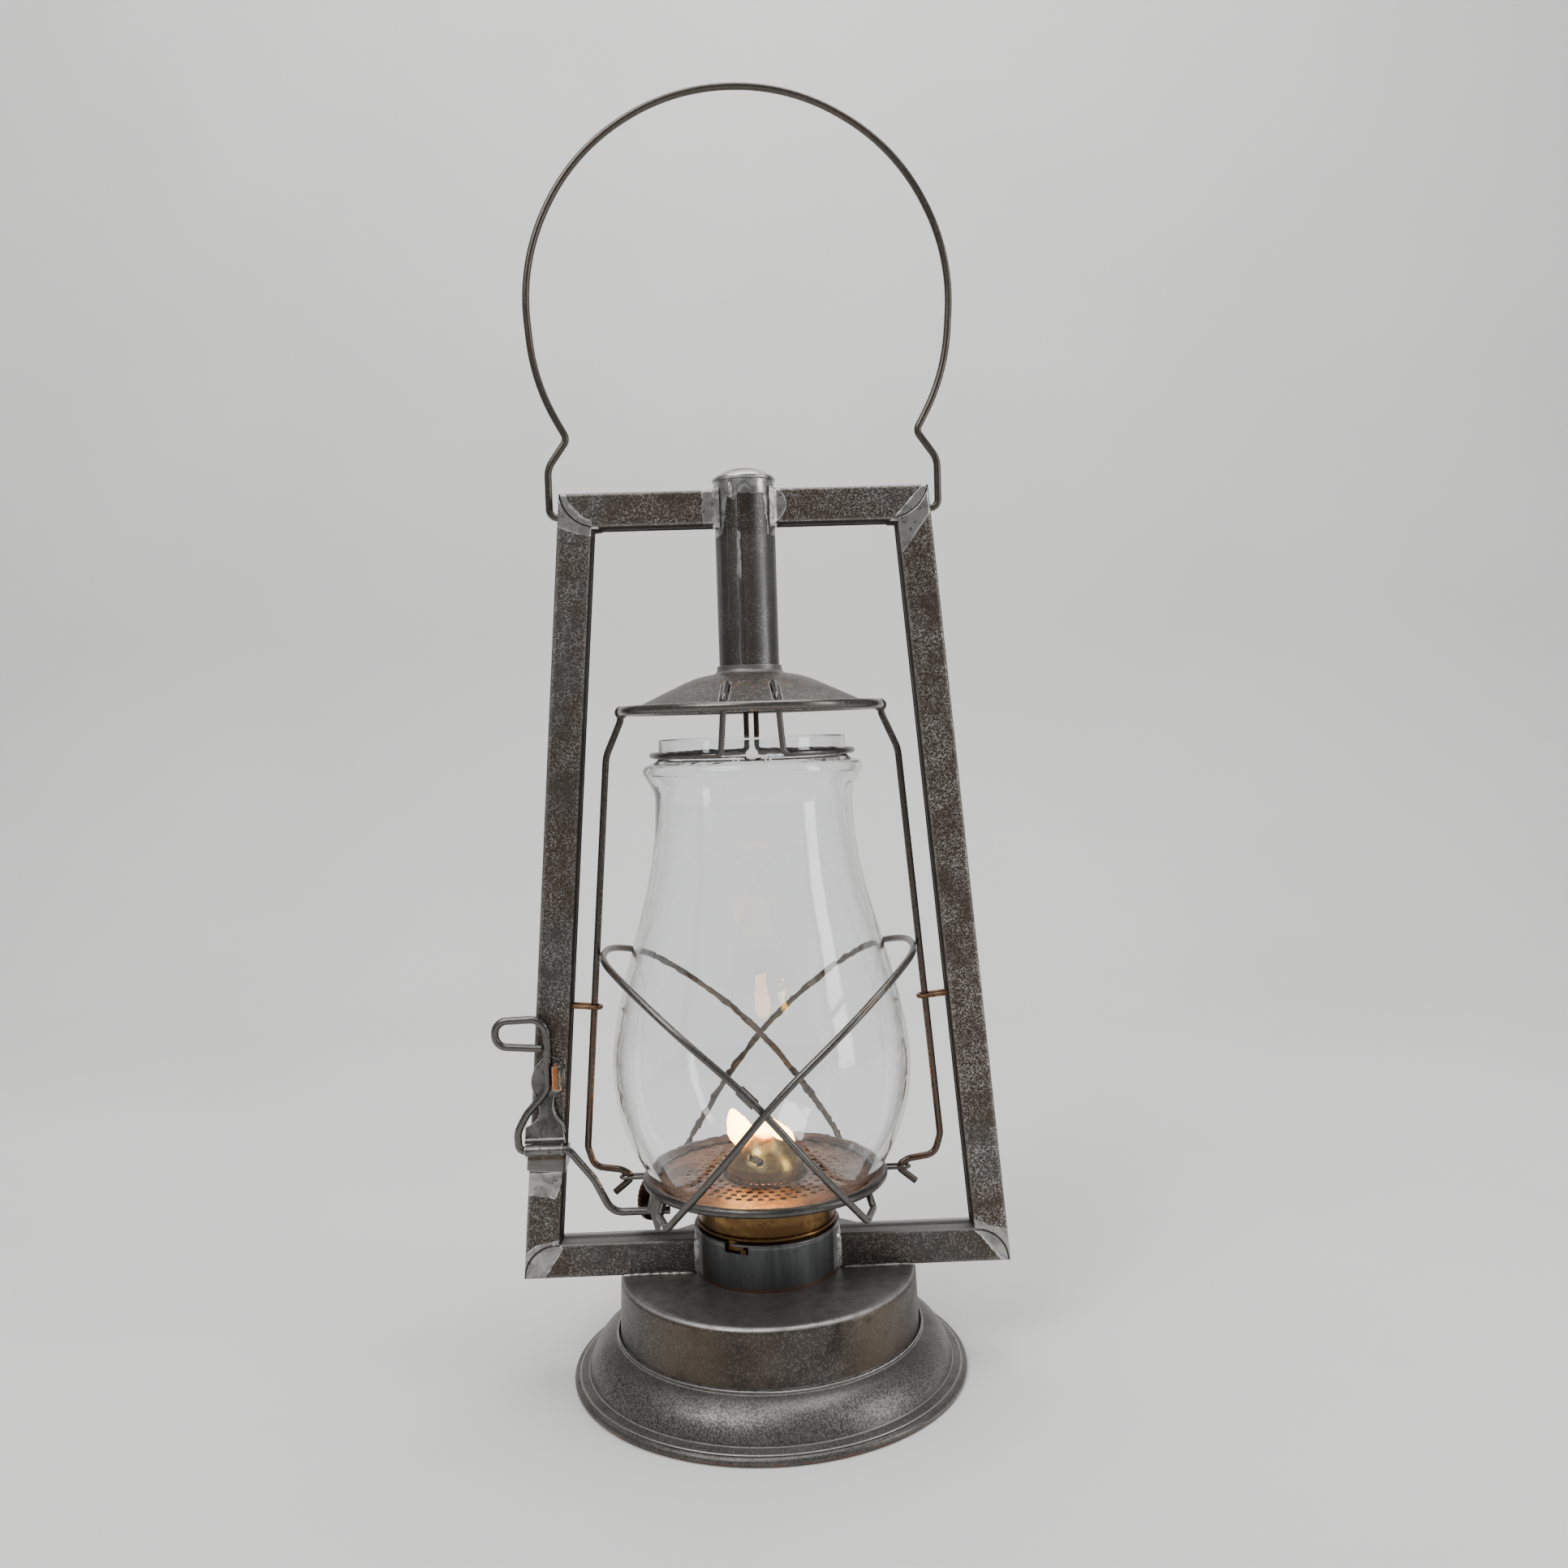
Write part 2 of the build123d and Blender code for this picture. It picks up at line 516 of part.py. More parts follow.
for side, name in ((-1, "left"), (1, "right")):
    with BuildPart() as guide_wire:
        bend_wire([(side * x, 0, z) for x, z in GUIDE_ROUTE], GUIDE_BENDS, CAGE_WIRE)
    save(guide_wire.part, f"guide_wire_{name}")

    with BuildPart() as plate_eye:
        eye = [(RIM_R + RIM_WIRE_R, 2.0), (55.5, 2.1), (55.5, -2.1), (RIM_R + RIM_WIRE_R, -2.0)]
        bend_wire([(side * x, y, PLATE_TOP) for x, y in eye], 1.95, 1.2)
    save(plate_eye.part, f"plate_eye_{name}")

    with BuildPart() as retainer_wire:
        ring_r, ring_z = 37.9, 236.2
        first, last = -73.0, 86.9  # azimuths of the half ring's ends
        count = 7
        step = (last - first) / count
        start = math.radians(first)
        route = [SLOT_TOP, SLOT_FOOT, (ring_r * math.cos(start), ring_r * math.sin(start), ring_z)]
        for i in range(count):
            angle = math.radians(first + (i + 0.5) * step)
            reach = ring_r / math.cos(math.radians(step / 2))
            route.append((reach * math.cos(angle), reach * math.sin(angle), ring_z))
        back = math.radians(last)
        route.append((ring_r * math.cos(back), ring_r * math.sin(back), ring_z))
        route.append((ring_r * math.cos(back), ring_r * math.sin(back), 255.6))
        bends = [2.4, 2.4] + [0.96 * ring_r] * count + [2.4]
        bend_wire([(side * x, y, z) for x, y, z in route], bends, RETAINER_WIRE)
    save(retainer_wire.part, f"retainer_wire_{name}")

# ---------------------------------------------------------------- globe and plate
LIP_Z = 242.1
LIP_ROUNDING = 0.7
with BuildPart() as globe_glass:
    def glass_side(inward):
        """The globe's outline, moved inward by the thickness of the glass for its inner face."""
        bulb_points = [
            (42.0, 75.0), (49.8, 87.0), (56.65, 115.0), (52.2, 147.0),
            (45.8, 170.0), (40.5, 190.0), (38.3, 203.5), (37.4, 218.0),
        ]
        neck_points = [(37.4, 222.0), (42.7, 231.2), (35.7, 234.4), (35.4, LIP_Z)]
        bulb = Spline(*[(x - inward, z) for x, z in bulb_points])
        neck = FilletPolyline(bulb @ 1, *[(x - inward, z) for x, z in neck_points], radius=[12, 2.4, 2.0])
        return bulb @ 0, neck @ 1

    with BuildSketch(Plane.XZ):
        with BuildLine():
            outer_foot, outer_lip = glass_side(0.0)
            inner_foot, inner_lip = glass_side(GLASS)
            Line(outer_foot, inner_foot)
            Line(outer_lip, inner_lip)
        make_face()
    revolve(axis=Axis.Z)
    fillet(edges().filter_by_position(Axis.Z, LIP_Z - 0.1, LIP_Z + 0.1), LIP_ROUNDING)
save(globe_glass.part, "globe_glass")

PLATE = 0.8
PLATE_HOLE_R = 16.4
AIR_HOLE_R = 1.3
AIR_HOLE_ROWS = ((18.9, 28), (22.4, 34), (26.0, 40), (29.7, 46))   # row radius, number of holes
with BuildPart() as globe_plate:
    with BuildSketch(Plane.XY.offset(PLATE_TOP - PLATE)):
        Circle(RIM_R)
        Circle(PLATE_HOLE_R, mode=Mode.SUBTRACT)
        for row_r, count in AIR_HOLE_ROWS:
            with PolarLocations(row_r, count):
                Circle(AIR_HOLE_R, mode=Mode.SUBTRACT)
    extrude(amount=PLATE)
    ring_bead(RIM_R, PLATE_TOP - 0.1, RIM_WIRE_R, mode=Mode.SUBTRACT)
save(globe_plate.part, "globe_plate")

with BuildPart() as plate_rim:
    ring_bead(RIM_R, PLATE_TOP - 0.1, RIM_WIRE_R)
save(plate_rim.part, "plate_rim")

# ---------------------------------------------------------------- guard wires round the globe
GUARD_HALF = [
    (37.7, -24.9, 73.1), (38.9, -28.6, 69.4), (35.4, -41.9, 69.6), (17.0, -58.9, 94.5),
    (-5.0, -61.2, 121.0), (-30.0, -55.0, 142.5), (-48.5, -37.5, 156.5), (-58.7, -14.0, 161.6),
]
FRONT_WIRE_STAND_OFF = 1.046   # guard wire b passes outside guard wire a where they cross


def guard_route(side, stand_off):
    """One guard wire: up round the front, over its apex and down round the back."""
    half = [(side * x, y if z < 80 else y * stand_off, z) for x, y, z in GUARD_HALF]
    return half + [(x, -y, z) for x, y, z in reversed(half)]


def guard_bends(route):
    """Large natural bends, with tight ones only at the two hooks under the rim."""
    radii = natural_radii(route)
    radii[0] = radii[-1] = 1.7
    radii[1] = radii[-2] = 5.0
    return radii


for side, stand_off, name in ((1, 1.0, "a"), (-1, FRONT_WIRE_STAND_OFF, "b")):
    route = guard_route(side, stand_off)
    with BuildPart() as guard_wire:
        bend_wire(route, guard_bends(route), CAGE_WIRE)
        ring_bead(RIM_R, PLATE_TOP - 0.1, RIM_WIRE_R, mode=Mode.SUBTRACT)
    save(guard_wire.part, f"guard_wire_{name}")

with BuildPart() as guard_ferrule:
    route = guard_route(1, 1.0)
    with BuildLine() as guard_line:
        FilletPolyline(*route, radius=guard_bends(route))
    upper = min((guard_line.line @ (i / 400) for i in range(200)), key=lambda p: abs(p.X + 8.2))
    lower = min((guard_line.line @ (i / 400) for i in range(200)), key=lambda p: abs(p.X + 2.6))
    run = lower - upper
    with BuildSketch(Plane(origin=upper, z_dir=run)) as sleeve:
        Circle(1.95)
        Circle(CAGE_WIRE / 2 + 0.12, mode=Mode.SUBTRACT)
    extrude(sleeve.sketch, amount=run.length)
save(guard_ferrule.part, "guard_ferrule")

# ---------------------------------------------------------------- lift bracket under the plate
BEARING_LOW = CRANK_Z + LEVER_WIRE / 2 + 0.35
with BuildPart() as lift_bracket:
    block((-44.6, -38.6), (-15.6, 18.4), (BEARING_LOW, BEARING_LOW + 1.2))
    for y in (-15.6, 17.2):
        block((-43.0, -39.2), (y, y + 1.2), (BEARING_LOW, PLATE_TOP - PLATE))
    with BuildSketch(Plane.XZ.offset(14.4)) as tongue:
        with BuildLine():
            Polyline((-43.9, BEARING_LOW + 1), (-38.8, BEARING_LOW + 1), (-40.0, 58.9), (-41.6, 58.9), close=True)
        make_face()
    extrude(tongue.sketch, amount=1.2)
    ring_bead(RIM_R, PLATE_TOP - 0.1, RIM_WIRE_R, mode=Mode.SUBTRACT)
save(lift_bracket.part, "lift_bracket")

# ---------------------------------------------------------------- burner
BURNER = Plane(
    origin=(0, 0, 0),
    x_dir=(math.cos(math.radians(SHAFT_AZIMUTH)), math.sin(math.radians(SHAFT_AZIMUTH)), 0),
    z_dir=(0, 0, 1),
)
TUBE_WIDE = 17.0           # flat wick tube, outside
TUBE_THICK = 3.8
SHAFT = 2.4


def burner_point(x, y, z):
    """A point given in the burner's own axes."""
    return tuple(BURNER.from_local_coords(Vector(x, y, z)))


with BuildPart() as burner_cup:
    def cup_line():
        FilletPolyline((12.0, 46.0), (25.2, 46.0), (25.3, 57.0), (26.45, 63.5), (26.45, 71.9), (14.0, 71.9),
                       radius=[1.6, 6, 8, 2.2])
    turn_outline(cup_line, SHEET)
    ring_bead(26.2, 57.95, 0.75)
    # floor round the wick tube
    with BuildSketch(BURNER.offset(45.6)):
        Circle(12.5)
        Rectangle(TUBE_WIDE + 0.04, TUBE_THICK + 0.04, mode=Mode.SUBTRACT)
    extrude(amount=SHEET)
    straight_rod(burner_point(20, SHAFT_SIDE, SHAFT_Z), burner_point(32, SHAFT_SIDE, SHAFT_Z),
                 SHAFT + 2 * PIN_PLAY, Mode.SUBTRACT)
save(burner_cup.part, "burner_cup")

CONE_TOP = 90.8
CONE_SHEET = 0.7
FLAME_SLOT = (17.4, 4.8)   # length and width of the opening over the wick
VENT = 0.9                 # square air holes round the cone's foot
VENT_COUNT = 40
VENT_ROWS = 2
VENT_LOW = 73.6
VENT_PITCH = 1.6
with BuildPart() as burner_cone:
    def cone_side(inward):
        """The dome's outline from its foot to the flame slot, moved inward for its inner face."""
        foot = Line((14.8 - inward, 72.4), (14.6 - inward, 77.5))
        points = [(12.0, 84.9), (7.8, 89.3), (FLAME_SLOT[1] / 4, CONE_TOP)]
        dome = Spline(foot @ 1, *[(x - 0.7 * inward, z - 0.9 * inward) for x, z in points],
                      tangents=((0, 1), (-1, 0)))
        return foot @ 0, dome @ 1

    with BuildSketch(Plane.XZ):
        with BuildLine():
            outer_foot, outer_top = cone_side(0.0)
            inner_foot, inner_top = cone_side(CONE_SHEET)
            Line(outer_foot, inner_foot)
            Line(outer_top, inner_top)
        make_face()
    revolve(axis=Axis.Z)
    with BuildSketch(BURNER.offset(CONE_TOP - 7)):
        SlotOverall(*FLAME_SLOT)
    extrude(amount=12, mode=Mode.SUBTRACT)
    for row in range(VENT_ROWS):
        with BuildSketch(Plane.XY.offset(VENT_LOW + row * VENT_PITCH)):
            with PolarLocations(14.4, VENT_COUNT, start_angle=row * 180 / VENT_COUNT):
                Rectangle(2.4, VENT)
        extrude(amount=VENT, mode=Mode.SUBTRACT)
save(burner_cone.part, "burner_cone")

with BuildPart() as wick_tube:
    with BuildSketch(BURNER.offset(43.5)):
        RectangleRounded(TUBE_WIDE, TUBE_THICK, 1.0)
        RectangleRounded(TUBE_WIDE - 1, TUBE_THICK - 1, 0.6, mode=Mode.SUBTRACT)
    extrude(amount=40.5)
    # windows for the feed wheels
    for x in (-4.5, 4.5):
        with BuildSketch(BURNER.offset(SHAFT_Z - 3.4)):
            with Locations((x, TUBE_THICK / 2)):
                Rectangle(3.0, 2.2)
        extrude(amount=6.8, mode=Mode.SUBTRACT)
save(wick_tube.part, "wick_tube")

with BuildPart() as burner_pins:
    for azimuth in (251.4, 71.4):
        angle = math.radians(azimuth)
        start = ((25.0) * math.cos(angle), 25.0 * math.sin(angle), PIN_Z)
        end = (28.6 * math.cos(angle), 28.6 * math.sin(angle), PIN_Z)
        straight_rod(start, end, 2.1)
    with BuildSketch(Plane.XY.offset(50)) as cup_space:
        Circle(25.72)
    extrude(cup_space.sketch, amount=10, mode=Mode.SUBTRACT)
save(burner_pins.part, "burner_pins")

with BuildPart() as wick_shaft:
    straight_rod(burner_point(-9, SHAFT_SIDE, SHAFT_Z), burner_point(52.6, SHAFT_SIDE, SHAFT_Z), SHAFT)
save(wick_shaft.part, "wick_shaft")

KNOB_R = 9.5
with BuildPart() as wick_knob:
    hub = Plane(origin=burner_point(51.0, SHAFT_SIDE, SHAFT_Z), z_dir=BURNER.x_dir)
    with BuildSketch(hub):
        Circle(KNOB_R)
        with PolarLocations(KNOB_R + 0.25, 32):
            Circle(0.5, mode=Mode.SUBTRACT)
    extrude(amount=1.4)
    with BuildSketch(hub.offset(-2.6)):
        Circle(2.6)
    extrude(amount=2.6)
    with BuildSketch(hub.offset(-3)):
        Circle(SHAFT / 2)
    extrude(amount=8, mode=Mode.SUBTRACT)
save(wick_knob.part, "wick_knob")

with BuildPart() as wick_sprockets:
    for x in (-4.5, 4.5):
        wheel = Plane(origin=burner_point(x - 0.6, SHAFT_SIDE, SHAFT_Z), z_dir=BURNER.x_dir)
        with BuildSketch(wheel):
            Circle(2.0)
            with PolarLocations(2.0, 10):
                Rectangle(0.9, 0.5)
            Circle(SHAFT / 2, mode=Mode.SUBTRACT)
        extrude(amount=1.2)
save(wick_sprockets.part, "wick_sprockets")

with BuildPart() as wick:
    with BuildSketch(BURNER.offset(17.5)):
        RectangleRounded(TUBE_WIDE - 2, 2.2, 0.6)
    extrude(amount=67.5)
save(wick.part, "wick")
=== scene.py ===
"""Looks of the square-tube kerosene lantern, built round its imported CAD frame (metres, +Z up, -Y front)."""
import math

import bmesh
import bpy
from mathutils import Matrix, Vector


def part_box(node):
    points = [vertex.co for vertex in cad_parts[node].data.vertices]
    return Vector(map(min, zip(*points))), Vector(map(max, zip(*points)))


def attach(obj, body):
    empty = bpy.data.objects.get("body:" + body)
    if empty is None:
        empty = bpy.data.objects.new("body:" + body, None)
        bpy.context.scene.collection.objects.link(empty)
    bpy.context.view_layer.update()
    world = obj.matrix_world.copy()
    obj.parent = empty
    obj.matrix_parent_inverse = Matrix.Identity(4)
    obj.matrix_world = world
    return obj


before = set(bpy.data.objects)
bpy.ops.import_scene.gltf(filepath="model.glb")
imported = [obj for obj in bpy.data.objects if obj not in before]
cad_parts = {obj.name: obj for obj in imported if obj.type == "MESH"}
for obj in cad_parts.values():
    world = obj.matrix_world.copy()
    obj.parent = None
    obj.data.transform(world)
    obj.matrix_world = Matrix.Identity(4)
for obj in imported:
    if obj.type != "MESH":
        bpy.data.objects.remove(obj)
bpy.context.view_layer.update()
MM = 0.001


# ---------------------------------------------------------------- frame measures
def mm(lengths):
    """Lengths in millimetres, as metres."""
    return [length * MM for length in lengths]


def box(node):
    """Lowest and highest corner of a CAD node, as vectors."""
    low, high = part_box(node)
    return Vector(low), Vector(high)


# ---------------------------------------------------------------- node helpers
BEVEL_SAMPLES = 4
WORN_BEND = (0.995, 0.93)        # cosine between rounded and true normal, from sound to fully worn
FACING = (0.55, 0.85)            # part of the normal along an axis, from turned away to facing it


class Shader:
    """A small wrapper that builds one Principled material out of procedural nodes."""

    def __init__(self, name):
        self.material = bpy.data.materials.new(name)
        self.material.use_nodes = True
        self.tree = self.material.node_tree
        self.bsdf = self.tree.nodes["Principled BSDF"]
        coordinates = self.tree.nodes.new("ShaderNodeTexCoord")
        self.place = coordinates.outputs["Object"]

    def link(self, source, target):
        self.tree.links.new(source, target)

    def put(self, value, socket):
        """Link a node output, or set a plain value, on a socket."""
        if isinstance(value, bpy.types.NodeSocket):
            self.link(value, socket)
        else:
            socket.default_value = value

    def noise(self, scale, detail=3.0, roughness=0.55, distortion=0.0, stretch=(1, 1, 1), shift=(0, 0, 0)):
        mapping = self.tree.nodes.new("ShaderNodeMapping")
        mapping.inputs["Scale"].default_value = stretch
        mapping.inputs["Location"].default_value = shift
        self.link(self.place, mapping.inputs["Vector"])
        node = self.tree.nodes.new("ShaderNodeTexNoise")
        node.inputs["Scale"].default_value = scale
        node.inputs["Detail"].default_value = detail
        node.inputs["Roughness"].default_value = roughness
        node.inputs["Distortion"].default_value = distortion
        self.link(mapping.outputs["Vector"], node.inputs["Vector"])
        return node.outputs["Fac"]

    def cells(self, scale):
        node = self.tree.nodes.new("ShaderNodeTexVoronoi")
        node.inputs["Scale"].default_value = scale
        self.link(self.place, node.inputs["Vector"])
        return node.outputs["Distance"]

    def axis(self, letter):
        split = self.tree.nodes.new("ShaderNodeSeparateXYZ")
        self.link(self.place, split.inputs["Vector"])
        return split.outputs[letter]

    def math(self, operation, first, second=0.0, third=0.0):
        node = self.tree.nodes.new("ShaderNodeMath")
        node.operation = operation
        for value, socket in zip((first, second, third), node.inputs):
            self.put(value, socket)
        return node.outputs[0]

    def fold(self, operation, values):
        result = values[0]
        for value in values[1:]:
            result = self.math(operation, result, value)
        return result

    def most(self, *values):
        return self.fold("MAXIMUM", values)

    def least(self, *values):
        return self.fold("MINIMUM", values)

    def times(self, *values):
        return self.fold("MULTIPLY", values)

    def scaled(self, value, factor, rest):
        """value * factor + rest"""
        return self.math("MULTIPLY_ADD", value, factor, rest)

    def step(self, value, low, high, start=0.0, end=1.0):
        """Smooth step from start to end while value goes from low to high."""
        node = self.tree.nodes.new("ShaderNodeMapRange")
        node.interpolation_type = "SMOOTHSTEP"
        self.put(low, node.inputs["From Min"])
        self.put(high, node.inputs["From Max"])
        self.put(start, node.inputs["To Min"])
        self.put(end, node.inputs["To Max"])
        self.put(value, node.inputs["Value"])
        return node.outputs["Result"]

    def band(self, value, low, high, soft):
        """1 while value lies between low and high, fading over soft."""
        rise = self.step(value, low - soft, low + soft)
        fall = self.step(value, high + soft, high - soft)
        return self.times(rise, fall)

    def mix(self, factor, first, second):
        """Mix two colours."""
        node = self.tree.nodes.new("ShaderNodeMix")
        node.data_type = "RGBA"
        self.put(factor, node.inputs["Factor"])
        sockets = [socket for socket in node.inputs if socket.type == "RGBA"]
        for value, socket in zip((first, second), sockets):
            self.put((*value, 1.0) if isinstance(value, tuple) else value, socket)
        return [socket for socket in node.outputs if socket.type == "RGBA"][0]

    def ramp(self, value, low, high, first, second):
        """Colour that goes from first to second while value goes from low to high."""
        return self.mix(self.step(value, low, high), first, second)

    def tint(self, colour, shade, *masks):
        """Lay a shade over a colour where every mask is 1."""
        return self.mix(self.times(*masks), colour, shade)

    def blend(self, factor, first, second):
        """Mix two plain numbers."""
        node = self.tree.nodes.new("ShaderNodeMix")
        node.data_type = "FLOAT"
        self.put(factor, node.inputs[0])
        low, high = [socket for socket in node.inputs if socket.type == "VALUE"][-2:]
        self.put(first, low)
        self.put(second, high)
        return node.outputs[0]

    def wear(self, reach):
        """How sharply the surface bends outward near a point, from 0 to 1: worn edges."""
        bevel = self.tree.nodes.new("ShaderNodeBevel")
        bevel.samples = BEVEL_SAMPLES
        bevel.inputs["Radius"].default_value = reach
        geometry = self.tree.nodes.new("ShaderNodeNewGeometry")
        dot = self.tree.nodes.new("ShaderNodeVectorMath")
        dot.operation = "DOT_PRODUCT"
        self.link(bevel.outputs["Normal"], dot.inputs[0])
        self.link(geometry.outputs["Normal"], dot.inputs[1])
        return self.step(dot.outputs["Value"], *WORN_BEND)

    def facing(self, letter, sign=1):
        """1 where the surface faces along an axis."""
        geometry = self.tree.nodes.new("ShaderNodeNewGeometry")
        split = self.tree.nodes.new("ShaderNodeSeparateXYZ")
        self.link(geometry.outputs["True Normal"], split.inputs["Vector"])
        low, high = FACING
        return self.step(split.outputs[letter], low * sign, high * sign)

    def grazing(self):
        """0 where the surface is seen face on, rising to 1 at its outline."""
        weight = self.tree.nodes.new("ShaderNodeLayerWeight")
        weight.inputs["Blend"].default_value = 0.5
        return weight.outputs["Facing"]

    def radius(self):
        """Distance from the upright middle axis."""
        flat = self.tree.nodes.new("ShaderNodeVectorMath")
        flat.operation = "MULTIPLY"
        flat.inputs[1].default_value = (1, 1, 0)
        self.link(self.place, flat.inputs[0])
        size = self.tree.nodes.new("ShaderNodeVectorMath")
        size.operation = "LENGTH"
        self.link(flat.outputs["Vector"], size.inputs[0])
        return size.outputs["Value"]

    def ragged(self, amount, scale=420.0):
        """X and Z of the point, pushed about by noise so that drawn edges come out ragged (mm)."""
        push = self.scaled(self.noise(scale, 2), 2 * amount * MM, -amount * MM)
        return self.math("ADD", self.axis("X"), push), self.math("ADD", self.axis("Z"), push)

    def round_patch(self, plane, x, z, reach):
        """Depth inside a circle drawn on the front (mm), in metres."""
        across = self.math("SUBTRACT", plane[0], x * MM)
        along = self.math("SUBTRACT", plane[1], z * MM)
        squares = self.scaled(across, across, self.math("MULTIPLY", along, along))
        return self.math("SUBTRACT", reach * MM, self.math("SQRT", squares))

    def outline(self, plane, points):
        """Depth inside a convex outline drawn anticlockwise on the front (mm), in metres."""
        depth = None
        for (x0, z0), (x1, z1) in zip(points, points[1:] + points[:1]):
            length = math.hypot(x1 - x0, z1 - z0)
            across, up = -(z1 - z0) / length, (x1 - x0) / length
            offset = -(across * x0 + up * z0) * MM
            side = self.scaled(plane[1], up, offset)
            side = self.scaled(plane[0], across, side)
            depth = side if depth is None else self.least(depth, side)
        return depth

    def bump(self, height, distance, strength=1.0):
        node = self.tree.nodes.new("ShaderNodeBump")
        node.inputs["Distance"].default_value = distance
        node.inputs["Strength"].default_value = strength
        self.link(height, node.inputs["Height"])
        self.link(node.outputs["Normal"], self.bsdf.inputs["Normal"])

    def surface(self, colour, metallic, roughness):
        self.put((*colour, 1.0) if isinstance(colour, tuple) else colour, self.bsdf.inputs["Base Color"])
        self.put(metallic, self.bsdf.inputs["Metallic"])
        self.put(roughness, self.bsdf.inputs["Roughness"])


def recipe(paint):
    """Turn a function that paints a shader into one that makes a named material."""
    def build(name, *options, **named_options):
        shader = Shader(name)
        paint(shader, *options, **named_options)
        return shader.material
    return build


# ---------------------------------------------------------------- materials
DARK_BROWN = (0.056, 0.041, 0.028)
DARK_GREY = (0.062, 0.056, 0.050)
FROST = (0.50, 0.49, 0.465)
WORN = (0.56, 0.55, 0.53)
OLD_SOLDER = (0.205, 0.200, 0.190)
NEW_SOLDER = (0.36, 0.354, 0.34)
# Colour of the painted highlight along the solder's edge.
SOLDER_EDGE_HIGHLIGHT = (0.62, 0.61, 0.59)
SOLDER_PIT = (0.10, 0.088, 0.075)
SEAM = (0.035, 0.030, 0.026)
# Colour of the painted shade laid on faces turned inward and downward.
PAINTED_SHADE = (0.017, 0.014, 0.011)

# Where solder covers the mitred corners of the tube frame: outlines, one circle that the solder stays
# outside of, and the circle that the seam follows (centre x, centre z, radius).
CORNERS = {
    "top_left": {
        "outline": [(-70, 321.8), (-65.6, 320.4), (-61.2, 318.5), (-56.6, 318.4), (-56.6, 337), (-70, 337)],
        "outside": (-54.5, 335.8, 11.6),
        "seam": (-54.5, 335.8, 14.2),
    },
    "top_right": {
        "outline": [(56.4, 309.5), (58.8, 309.5), (70.5, 325.5), (70.5, 338), (69, 337), (56.4, 323.2)],
        "seam": (54.0, 337.0, 14.7),
    },
    "low_left": {
        "outline": [(-94, 38), (-85.7, 38), (-78, 49.3), (-78, 54), (-80.3, 53.5), (-88, 51.9), (-94, 47.5)],
        "seam": (-80.0, 39.0, 12.55),
    },
    "low_right": {
        "outline": [
            (90.2, 38), (94, 38), (94, 50), (91.3, 51), (87.6, 53.3), (83.6, 55.4), (79, 56.2), (79, 51.5),
        ],
        "seam": (79.5, 39.0, 12.5),
    },
    "chimney_left": {"outline": [(-15.6, 320), (-8, 320), (-8, 337), (-16, 337)]},
    "chimney_right": {"disc": (8.3, 328.5, 7.3)},
    "strap": {"outline": [(-92, 71.5), (-79.6, 69.5), (-75.6, 80), (-92, 80)]},
}


# Places on the upper faces of the cross tubes (mm from the middle plane): a painted highlight strip at the
# back and painted shade in the gap along the folded seam.
HIGHLIGHT_STRIP = (3.6, 5.0)
FOLD_GAP = (-0.9, 2.2)
SEAM_WIDTH = (0.55, 0.18)


def solder_cover(shader, patches):
    """Depth inside the solder of the named corners, and how much of a dark seam runs through it."""
    ragged = shader.ragged(0.55)
    plain = (shader.axis("X"), shader.axis("Z"))
    cover, seams = None, 0.0
    for patch in patches:
        shape = CORNERS[patch]
        if "outline" in shape:
            depth = shader.outline(ragged, shape["outline"])
        else:
            depth = shader.round_patch(ragged, *shape["disc"])
        if "outside" in shape:
            within = shader.round_patch(ragged, *shape["outside"])
            depth = shader.least(depth, shader.math("MULTIPLY", within, -1.0))
        cover = depth if cover is None else shader.most(cover, depth)
        if "seam" in shape:
            ring = shader.math("ABSOLUTE", shader.round_patch(plain, *shape["seam"]))
            line = shader.step(ring, *mm(SEAM_WIDTH))
            seams = shader.most(seams, shader.times(line, shader.step(depth, 0.0, 0.6 * MM)))
    return cover, seams


